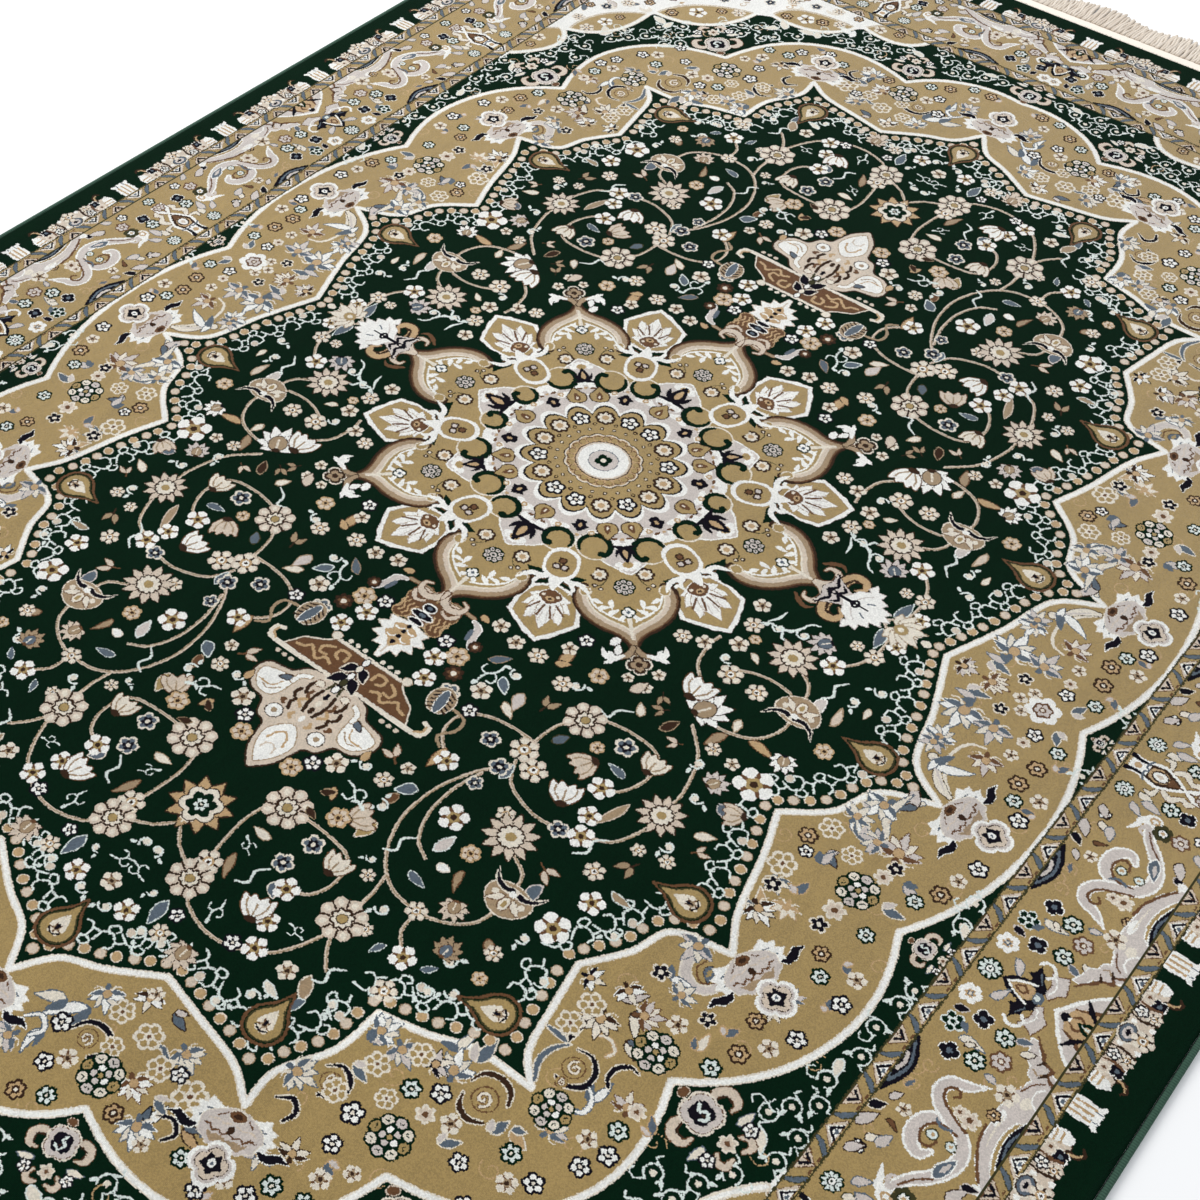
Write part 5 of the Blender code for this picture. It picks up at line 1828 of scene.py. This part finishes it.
# The loom's own unevenness: each tuft takes its yarn from a spot up to a third of a tuft away.
rows, columns = np.mgrid[0:ALONG, 0:ACROSS]
WANDER = 0.62
rows = np.clip(((rows + 0.5 + WANDER * (rng.random(rows.shape) - 0.5)) * FINE).astype(int), 0,
               ALONG * FINE - 1)
columns = np.clip(((columns + 0.5 + WANDER * (rng.random(columns.shape) - 0.5)) * FINE).astype(int), 0,
                  ACROSS * FINE - 1)
quarter = chart[rows, columns]
half = np.concatenate([quarter[:, ::-1], quarter], axis=1)
tufts = np.concatenate([half[::-1], half], axis=0)

# Six tufts by six share one face of the pile. A row of six is kept as one number, a base-16 digit for each
# tuft.
GROUP = 6
PITCH_X, PITCH_Y = HALF_WIDTH / ACROSS, HALF_LENGTH / ALONG
FACES_ACROSS, FACES_ALONG = 2 * ACROSS // GROUP, 2 * ALONG // GROUP
digits = tufts.reshape(FACES_ALONG, GROUP, FACES_ACROSS, GROUP).astype(np.int64)
row_codes = (digits * 16 ** np.arange(GROUP)).sum(axis=3).transpose(0, 2, 1)

PILE_HEIGHT = 0.01


def pile_top(x, y):
    """The height of the pile, which lies in very shallow waves."""
    return PILE_HEIGHT - 0.0003 + 0.00025 * np.sin(7.1 * x + 1.3) * np.sin(4.3 * y + 0.4)


def pile_material():
    material, tree, principled = shader("pile_yarn", (0.3, 0.25, 0.15), 0.95, Specular_IOR_Level=0.03)
    math, link, add = nodes_for(tree)
    x, y, z = place_xyz(tree)
    across = math("DIVIDE", math("ADD", x, HALF_WIDTH), PITCH_X)
    along = math("DIVIDE", math("ADD", y, HALF_LENGTH), PITCH_Y)
    column, row = math("FLOOR", across), math("FLOOR", along)
    code = 0.0
    for half_name, first in (("tufts_low", 0), ("tufts_high", 3)):
        stored = add("ShaderNodeAttribute")
        stored.attribute_name = half_name
        parts = add("ShaderNodeSeparateXYZ", Vector=stored.outputs["Vector"])
        for number in range(3):
            here = math("COMPARE", math("MODULO", row, GROUP), first + number, 0.5)
            code = math("MULTIPLY_ADD", parts.outputs[number], here, code)
    shift = math("POWER", 16.0, math("MODULO", column, GROUP))
    yarn = math("MODULO", math("FLOOR", math("DIVIDE", code, shift)), 16.0)
    palette = add("ShaderNodeValToRGB", Fac=math("DIVIDE", yarn, 15.0))
    palette.color_ramp.interpolation = "CONSTANT"
    elements = palette.color_ramp.elements
    while len(elements) < len(YARN_COLOURS):
        elements.new(0.5)
    for number, colour in enumerate(YARN_COLOURS.values(), start=1):
        elements[number - 1].position = (number - 0.5) / 15 if number > 1 else 0.0
        elements[number - 1].color = (*colour, 1)

    # Each tuft takes dye and stands a little differently. Painted shade is laid on the colour too: long
    # streaks for the lean of the pile, and darker gaps between the rows of tufts.
    spot = add("ShaderNodeCombineXYZ", X=column, Y=row)
    chance = tree.nodes.new("ShaderNodeTexWhiteNoise")
    chance.noise_dimensions = "2D"
    link(spot.outputs[0], chance.inputs["Vector"])
    object_place = tree.nodes["Texture Coordinate"].outputs["Object"]
    painted_lean_streak = add("ShaderNodeTexNoise", Vector=add("ShaderNodeMapping", Vector=object_place,
                                                  Scale=(60, 9, 1)).outputs[0],
                 Scale=1.0, Detail=3.0)
    drift = add("ShaderNodeTexNoise", Vector=object_place, Scale=3.2, Detail=3.0)
    off_x = math("ABSOLUTE", math("SUBTRACT", math("FRACT", across), 0.5))
    off_y = math("ABSOLUTE", math("SUBTRACT", math("FRACT", along), 0.5))
    gap = math("ADD", math("POWER", math("MULTIPLY", off_x, 2.0), 4.0),
               math("MULTIPLY", math("POWER", math("MULTIPLY", off_y, 2.0), 4.0), 2.0))
    # light scales the yarn colour: each tuft's own dye and broad patches, with painted shade added below.
    light = math("MULTIPLY_ADD", chance.outputs["Value"], 0.34, 0.9)
    # Painted shade: the pile is lighter and darker in long streaks, as its tufts lean.
    light = math("MULTIPLY_ADD", math("SUBTRACT", painted_lean_streak.outputs["Fac"], 0.5), 0.3, light)
    light = math("MULTIPLY_ADD", math("SUBTRACT", drift.outputs["Fac"], 0.5), 0.3, light)
    # Painted shade: the gaps between the tufts are darker.
    light = math("MULTIPLY_ADD", gap, -0.2, light)
    dye_and_painted_shade = add("ShaderNodeMix")
    dye_and_painted_shade.data_type, dye_and_painted_shade.blend_type = "RGBA", "MULTIPLY"
    link(1.0, dye_and_painted_shade.inputs["Factor"])
    link(palette.outputs["Color"], dye_and_painted_shade.inputs[6])
    grey = add("ShaderNodeCombineColor", Red=light, Green=light, Blue=light)
    link(grey.outputs[0], dye_and_painted_shade.inputs[7])
    link(dye_and_painted_shade.outputs[2], principled.inputs["Base Color"])
    # Pale yarn has a whitish bloom when it is seen at a low angle, and dark yarn has almost none.
    bloom = add("ShaderNodeRGBToBW", Color=palette.outputs["Color"]).outputs[0]
    link(math("MULTIPLY", bloom, 1.6), principled.inputs["Sheen Weight"])
    height = math("MULTIPLY_ADD", chance.outputs["Value"], 0.6, math("MULTIPLY", gap, -0.5))
    weave_bump(tree, principled, height, 0.0006, 0.6)
    return material


pile_yarn = pile_material()
WIDTHS = 8
for width in range(WIDTHS):
    first, last = FACES_ACROSS * width // WIDTHS, FACES_ACROSS * (width + 1) // WIDTHS
    first, last = max(first, 1), min(last, FACES_ACROSS - 1)
    xs = -HALF_WIDTH + PITCH_X * GROUP * np.arange(first, last + 1)
    ys = -HALF_LENGTH + PITCH_Y * GROUP * np.arange(1, FACES_ALONG)
    grid_x, grid_y = np.meshgrid(xs, ys)
    corners = np.stack([grid_x, grid_y, pile_top(grid_x, grid_y)], axis=2).reshape(-1, 3)
    wide = last - first
    start = (np.arange(FACES_ALONG - 2)[:, None] * (wide + 1) + np.arange(wide)).ravel()
    faces = np.stack([start, start + 1, start + wide + 2, start + wide + 1], axis=1)
    piece = mesh_object(f"pile_width_{width + 1}", corners.tolist(), faces.tolist(), pile_yarn)
    codes = row_codes[1:FACES_ALONG - 1, first:last].reshape(-1, GROUP)
    for half_name, part in (("tufts_low", codes[:, :3]), ("tufts_high", codes[:, 3:])):
        stored = piece.data.attributes.new(half_name, "FLOAT_VECTOR", "FACE")
        stored.data.foreach_set("vector", part.astype(np.float32).ravel())
    # The width's UV map lays its faces out in four columns of 99 rows, side by side.
    row, column = np.divmod(np.arange(len(faces)), wide)
    places = np.stack([column + 33.5 * (row // 99) + 0.25, row % 99 + 0.25], axis=1)
    spread_out = (places[:, None, :] + [(0, 0), (1, 0), (1, 1), (0, 1)]) / (134.0, 99.5)
    piece.data.uv_layers.new(name="OFBake").data.foreach_set("uv", spread_out.astype(np.float32).ravel())
    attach(piece, "root")


# PILE RIM
# The outermost rows of green tufts lean out over the edge of the backing, so the rug's rim is round and a
# little hairy. It is the same yarn as the ground, plain green all the way round.
RIM_WIDTH_X, RIM_WIDTH_Y = PITCH_X * GROUP, PITCH_Y * GROUP
# inset: share of the rim's width from the edge; height: above the floor, from the pile down to the backing.
RIM_PROFILE = [
    {"inset": 1.0, "height": None}, {"inset": 0.6, "height": 0.0096}, {"inset": 0.32, "height": 0.009},
    {"inset": 0.13, "height": 0.0079}, {"inset": 0.03, "height": 0.0065}, {"inset": 0.0, "height": 0.005},
    {"inset": 0.05, "height": 0.0036},
]
LOOSE_FIBRES = 5200


def rim_turn(inset, height, steps_x=67, steps_y=101):
    """The corners of one closed turn round the rug, set in from its edge."""
    x, y = HALF_WIDTH - inset * RIM_WIDTH_X, HALF_LENGTH - inset * RIM_WIDTH_Y
    xs, ys = np.linspace(-x, x, steps_x), np.linspace(-y, y, steps_y)
    turn = [(u, -y) for u in xs[:-1]] + [(x, v) for v in ys[:-1]]
    turn += [(u, y) for u in xs[:0:-1]] + [(-x, v) for v in ys[:0:-1]]
    return [(u, v, height or pile_top(u, v)) for u, v in turn]


def edge_spot(run):
    """The spot on the rug's edge at this distance round it, and the way out from there."""
    wide, long = 2 * HALF_WIDTH, 2 * HALF_LENGTH
    if run < wide:
        return (run - HALF_WIDTH, -HALF_LENGTH), (0, -1)
    if run < wide + long:
        return (HALF_WIDTH, run - wide - HALF_LENGTH), (1, 0)
    if run < 2 * wide + long:
        return (run - wide - long - HALF_WIDTH, HALF_LENGTH), (0, 1)
    return (-HALF_WIDTH, run - 2 * wide - long - HALF_LENGTH), (-1, 0)


rim_yarn, tree, principled = shader("rim_yarn", YARN_COLOURS["green"], 0.95, Specular_IOR_Level=0.04)
math, link, add = nodes_for(tree)
x, y, z = place_xyz(tree)
# Painted shade: each tuft is lighter in its middle and darker towards its edge, where it meets the next.
tuft = add("ShaderNodeTexVoronoi", Vector=tree.nodes["Texture Coordinate"].outputs["Object"], Scale=800.0)
ramp = add("ShaderNodeValToRGB", Fac=tuft.outputs["Distance"])
ramp.color_ramp.elements[0].color = (0.0024, 0.018, 0.008, 1)
ramp.color_ramp.elements[1].color = (0.0006, 0.0055, 0.0022, 1)
link(ramp.outputs["Color"], principled.inputs["Base Color"])
weave_bump(tree, principled, math("SUBTRACT", 1.0, tuft.outputs["Distance"]), 0.0008)

turns = [rim_turn(row["inset"], row["height"]) for row in RIM_PROFILE]
around = len(turns[0])
corners = [corner for turn in turns for corner in turn]
faces = []
for level in range(len(turns) - 1):
    for number in range(around):
        after = (number + 1) % around
        low = (level + 1) * around
        faces.append((level * around + number, low + number, low + after, level * around + after))
for _ in range(LOOSE_FIBRES):
    spot, out = edge_spot(rng.random() * 4 * (HALF_WIDTH + HALF_LENGTH))
    reach = 0.0004 + (0.0006 if out[0] else 0.0018) * rng.random()
    root = np.array([spot[0] - 0.0014 * out[0], spot[1] - 0.0014 * out[1], 0.0072 + 0.002 * rng.random()])
    side = 0.0003 * np.array([out[1], out[0], 0])
    tip = root + np.array([out[0] * (0.0014 + reach), out[1] * (0.0014 + reach), 0.0006 * rng.random()])
    first = len(corners)
    corners += [tuple(root - side), tuple(root + side), tuple(tip + side * (8 * rng.random() - 4))]
    faces.append((first, first + 1, first + 2))
pile_rim = mesh_object("pile_rim", corners, faces, rim_yarn)
pile_rim.data.shade_smooth()
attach(pile_rim, "root")

# OVERCAST SIDES
# A cord runs down each side and is overcast with lighter green yarn, turn beside turn, by a machine that
# also catches the edge of the backing. It stops the cut sides from fraying.
OVERCAST_IN, OVERCAST_OUT = 0.9916, 0.9999
OVERCAST_TOP = 0.0077
YARN_TURN = 0.0034
OVERCAST_SIDES = 9

overcast_yarn, tree, principled = shader("overcast_yarn", (0.022, 0.06, 0.04), 0.9, Sheen_Weight=0.08,
                                         Specular_IOR_Level=0.15)
math, link, add = nodes_for(tree)
x, y, z = place_xyz(tree)
# Painted shade: each turn of yarn is lighter on its crest and darker where it meets the next turn.
painted_turn_shade = math("POWER", math("ABSOLUTE", math("SINE", math("MULTIPLY", y, pi / YARN_TURN))), 0.6)
along_yarn = add("ShaderNodeMapping", Vector=tree.nodes["Texture Coordinate"].outputs["Object"])
along_yarn.inputs["Scale"].default_value = (240, 900, 240)
fleck = add("ShaderNodeTexNoise", Vector=along_yarn.outputs[0], Scale=1.0, Detail=2.0)
ramp = add("ShaderNodeValToRGB", Fac=math("MULTIPLY", painted_turn_shade, math("ADD", fleck.outputs["Fac"], 0.35)))
ramp.color_ramp.elements[0].color = (0.008, 0.026, 0.017, 1)
ramp.color_ramp.elements[1].color = (0.05, 0.108, 0.074, 1)
link(ramp.outputs["Color"], principled.inputs["Base Color"])
weave_bump(tree, principled, fleck.outputs["Fac"], 0.0003)


def overcast(name, node, hand):
    """One wrapped side. hand is +1 for the right and -1 for the left."""
    turns_of_yarn = int((2 * HALF_LENGTH - 0.001) / YARN_TURN)
    stations = 4 * turns_of_yarn
    half_wide, half_high = (OVERCAST_OUT - OVERCAST_IN) / 2, OVERCAST_TOP / 2
    middle = (OVERCAST_OUT + OVERCAST_IN) / 2
    corners, faces = [], []
    for station in range(stations + 1):
        y = (station / stations - 0.5) * turns_of_yarn * YARN_TURN
        swell = 0.88 + 0.12 * abs(sin(pi * station / 4)) ** 0.7
        swell = min(1.0, swell + 0.012 * rng.standard_normal())
        for number in range(OVERCAST_SIDES):
            turn = 2 * pi * (number + 0.5) / OVERCAST_SIDES
            u, v = cos(turn), sin(turn)
            u, v = np.sign(u) * abs(u) ** 0.7, np.sign(v) * abs(v) ** 0.7
            corners.append((hand * (middle + half_wide * swell * u), y, half_high * (1 + swell * v)))
    for station in range(stations):
        for number in range(OVERCAST_SIDES):
            a, b = station * OVERCAST_SIDES + number, station * OVERCAST_SIDES + (number + 1) % OVERCAST_SIDES
            quad = (a, a + OVERCAST_SIDES, b + OVERCAST_SIDES, b)
            faces.append(quad if hand > 0 else quad[::-1])
    near = tuple(range(OVERCAST_SIDES))
    far = tuple(stations * OVERCAST_SIDES + number for number in near)
    faces += [near, far[::-1]] if hand > 0 else [near[::-1], far]
    piece = mesh_object(name, corners, faces, overcast_yarn)
    piece.data.shade_smooth()
    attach(piece, "root")
    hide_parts(node)
    return piece


overcasts = [overcast("overcast_yarn_right", "overcast_right", 1),
             overcast("overcast_yarn_left", "overcast_left", -1)]

# FRINGE
# Loosely twisted cotton yarns, gathered in pairs and sewn across each end under a smooth white cotton tape.
# They lie close together on the floor, and their cut ends make a slow wave.
TAPE_IN, TAPE_OUT, TAPE_TOP = 1.4904, 1.5135, 0.0062
FRINGE_YARNS = 420
YARN_THICK = 0.006
YARN_SIDES = 6
YARN_STATIONS = 13

fringe_cotton, tree, principled = shader("fringe_cotton", (0.6, 0.51, 0.4), 0.9, Sheen_Weight=0.1,
                                         Specular_IOR_Level=0.15)
math, link, add = nodes_for(tree)
stored = add("ShaderNodeAttribute")
stored.attribute_name = "yarn_place"
parts = add("ShaderNodeSeparateXYZ", Vector=stored.outputs["Vector"])
run, around_yarn, shade = parts.outputs
# Painted shade: the yarn is darker in the grooves between its plies.
ply = math("FRACT", math("ADD", math("DIVIDE", run, 0.0062), math("MULTIPLY", around_yarn, 2.0)))
ply = math("POWER", math("ABSOLUTE", math("SUBTRACT", math("MULTIPLY", ply, 2.0), 1.0)), 2.0)
hair = add("ShaderNodeTexNoise", Vector=tree.nodes.new("ShaderNodeTexCoord").outputs["Object"], Scale=420.0,
           Detail=3.0)
tone = math("MULTIPLY_ADD", hair.outputs["Fac"], 0.3, math("MULTIPLY_ADD", ply, -0.22, shade))
ramp = add("ShaderNodeValToRGB", Fac=tone)
ramp.color_ramp.elements[0].color = (0.46, 0.375, 0.29, 1)
ramp.color_ramp.elements[0].position = 0.22
ramp.color_ramp.elements[1].color = (0.88, 0.81, 0.72, 1)
ramp.color_ramp.elements[1].position = 0.98
link(ramp.outputs["Color"], principled.inputs["Base Color"])
weave_bump(tree, principled, math("SUBTRACT", hair.outputs["Fac"], ply), 0.0005)


def fringe_reach(x):
    """Where the cut ends lie at x, as a distance from the rug's middle."""
    return 1.578 - 0.0095 * sin(2 * pi * (x - 0.01) / 0.18) + 0.003 * sin(2 * pi * x / 0.47 + 1.0)


def tape_shape(end):
    """The tape: a flat band with a soft bulge. end is +1 for the far end, -1 for the near one."""
    xs = np.linspace(-0.999, 0.999, 334)
    profile = [(TAPE_IN, 0.0004), (TAPE_IN + 0.0004, TAPE_TOP), (TAPE_IN + 0.005, TAPE_TOP + 0.001),
               (TAPE_OUT - 0.004, TAPE_TOP + 0.0008), (TAPE_OUT, TAPE_TOP - 0.0005), (TAPE_OUT, 0.0004)]
    corners, faces = [], []
    for x in xs:
        for number, (out, height) in enumerate(profile):
            ripple = 0.0006 * rng.standard_normal() if 0 < number < 5 else 0.0
            corners.append((x, end * (out + 0.5 * ripple), height + 0.5 * abs(ripple)))
    across = len(profile)
    for station in range(len(xs) - 1):
        for number in range(across):
            a, b = station * across + number, station * across + (number + 1) % across
            quad = (a, b, b + across, a + across)
            faces.append(quad if end > 0 else quad[::-1])
    near, far = tuple(range(across)), tuple((len(xs) - 1) * across + number for number in range(across))
    faces += [near[::-1], far] if end > 0 else [near, far[::-1]]
    places = [(0.0, 0.25, 0.74) for corner in corners]
    return corners, faces, places


def fringe_yarn(number, end, first):
    """One yarn from the tape to its cut end: its corners, faces and place along the yarn."""
    pitch = 1.996 / FRINGE_YARNS
    pair, member = divmod(number, 2)
    x_free = -0.998 + pitch * (number + 0.5)
    x_root = -0.998 + pitch * (2 * pair + 1) + 0.0017 * (2 * member - 1) + 0.0003 * rng.standard_normal()
    lean = 0.004 * sin(0.31 * pair) + 0.001 * rng.standard_normal()
    wave, phase = 0.0013 * rng.random() + 0.0004, 6.3 * rng.random()
    reach = fringe_reach(x_free) + 0.0022 * rng.standard_normal()
    reach = min(reach, 1.5905)
    thick = YARN_THICK * (0.92 + 0.16 * rng.random())
    shade = 0.5 + 0.2 * (rng.random() - 0.5)
    start = TAPE_OUT - 0.0015
    corners, faces, places = [], [], []
    for station in range(YARN_STATIONS):
        share = station / (YARN_STATIONS - 1)
        gather = min(1.0, share * 3.6)
        gather = gather * gather * (3 - 2 * gather)
        x = x_root + (x_free - x_root) * gather + lean * share ** 1.5
        x += wave * sin(9.0 * share + phase) * gather
        x = max(-0.9975, min(0.9975, x))
        y = start + (reach - start) * share
        size = 0.5 * thick * (0.86 + 0.14 * min(1.0, share * 5))
        if station == YARN_STATIONS - 1:
            size *= 0.62
        rise = 0.0004 * (member == 1) + 0.0003 * sin(7 * share + phase)
        z = size + 0.0002 + max(0.0, rise) + 0.001 * (1 - gather)
        for side in range(YARN_SIDES):
            turn = 2 * pi * side / YARN_SIDES
            corners.append((x + size * 1.08 * cos(turn), end * y, z + size * sin(turn)))
            # The third number is the yarn's own tone, made darker over the first eighth of its length:
            # painted shadow where the pairs gather under the edge of the tape.
            places.append((share * (reach - start), side / YARN_SIDES,
                           shade - 0.34 * (1 - min(1.0, 8 * share))))
    for station in range(YARN_STATIONS - 1):
        for side in range(YARN_SIDES):
            a = first + station * YARN_SIDES + side
            b = first + station * YARN_SIDES + (side + 1) % YARN_SIDES
            quad = (a, a + YARN_SIDES, b + YARN_SIDES, b)
            faces.append(quad if end > 0 else quad[::-1])
    root = tuple(first + side for side in range(YARN_SIDES))
    tip = tuple(first + (YARN_STATIONS - 1) * YARN_SIDES + side for side in range(YARN_SIDES))
    faces += [root, tip[::-1]] if end > 0 else [root[::-1], tip]
    return corners, faces, places


def fringe(name, node, end):
    corners, faces, places = tape_shape(end)
    for number in range(FRINGE_YARNS):
        more_corners, more_faces, more_places = fringe_yarn(number, end, len(corners))
        corners += more_corners
        faces += more_faces
        places += more_places
    piece = mesh_object(name, corners, faces, fringe_cotton)
    stored = piece.data.attributes.new("yarn_place", "FLOAT_VECTOR", "POINT")
    stored.data.foreach_set("vector", np.array(places, np.float32).ravel())
    piece.data.shade_smooth()
    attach(piece, "root")
    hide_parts(node)
    return piece


fringes = [fringe("fringe_yarns_far", "fringe_far", 1), fringe("fringe_yarns_near", "fringe_near", -1)]

low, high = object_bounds()
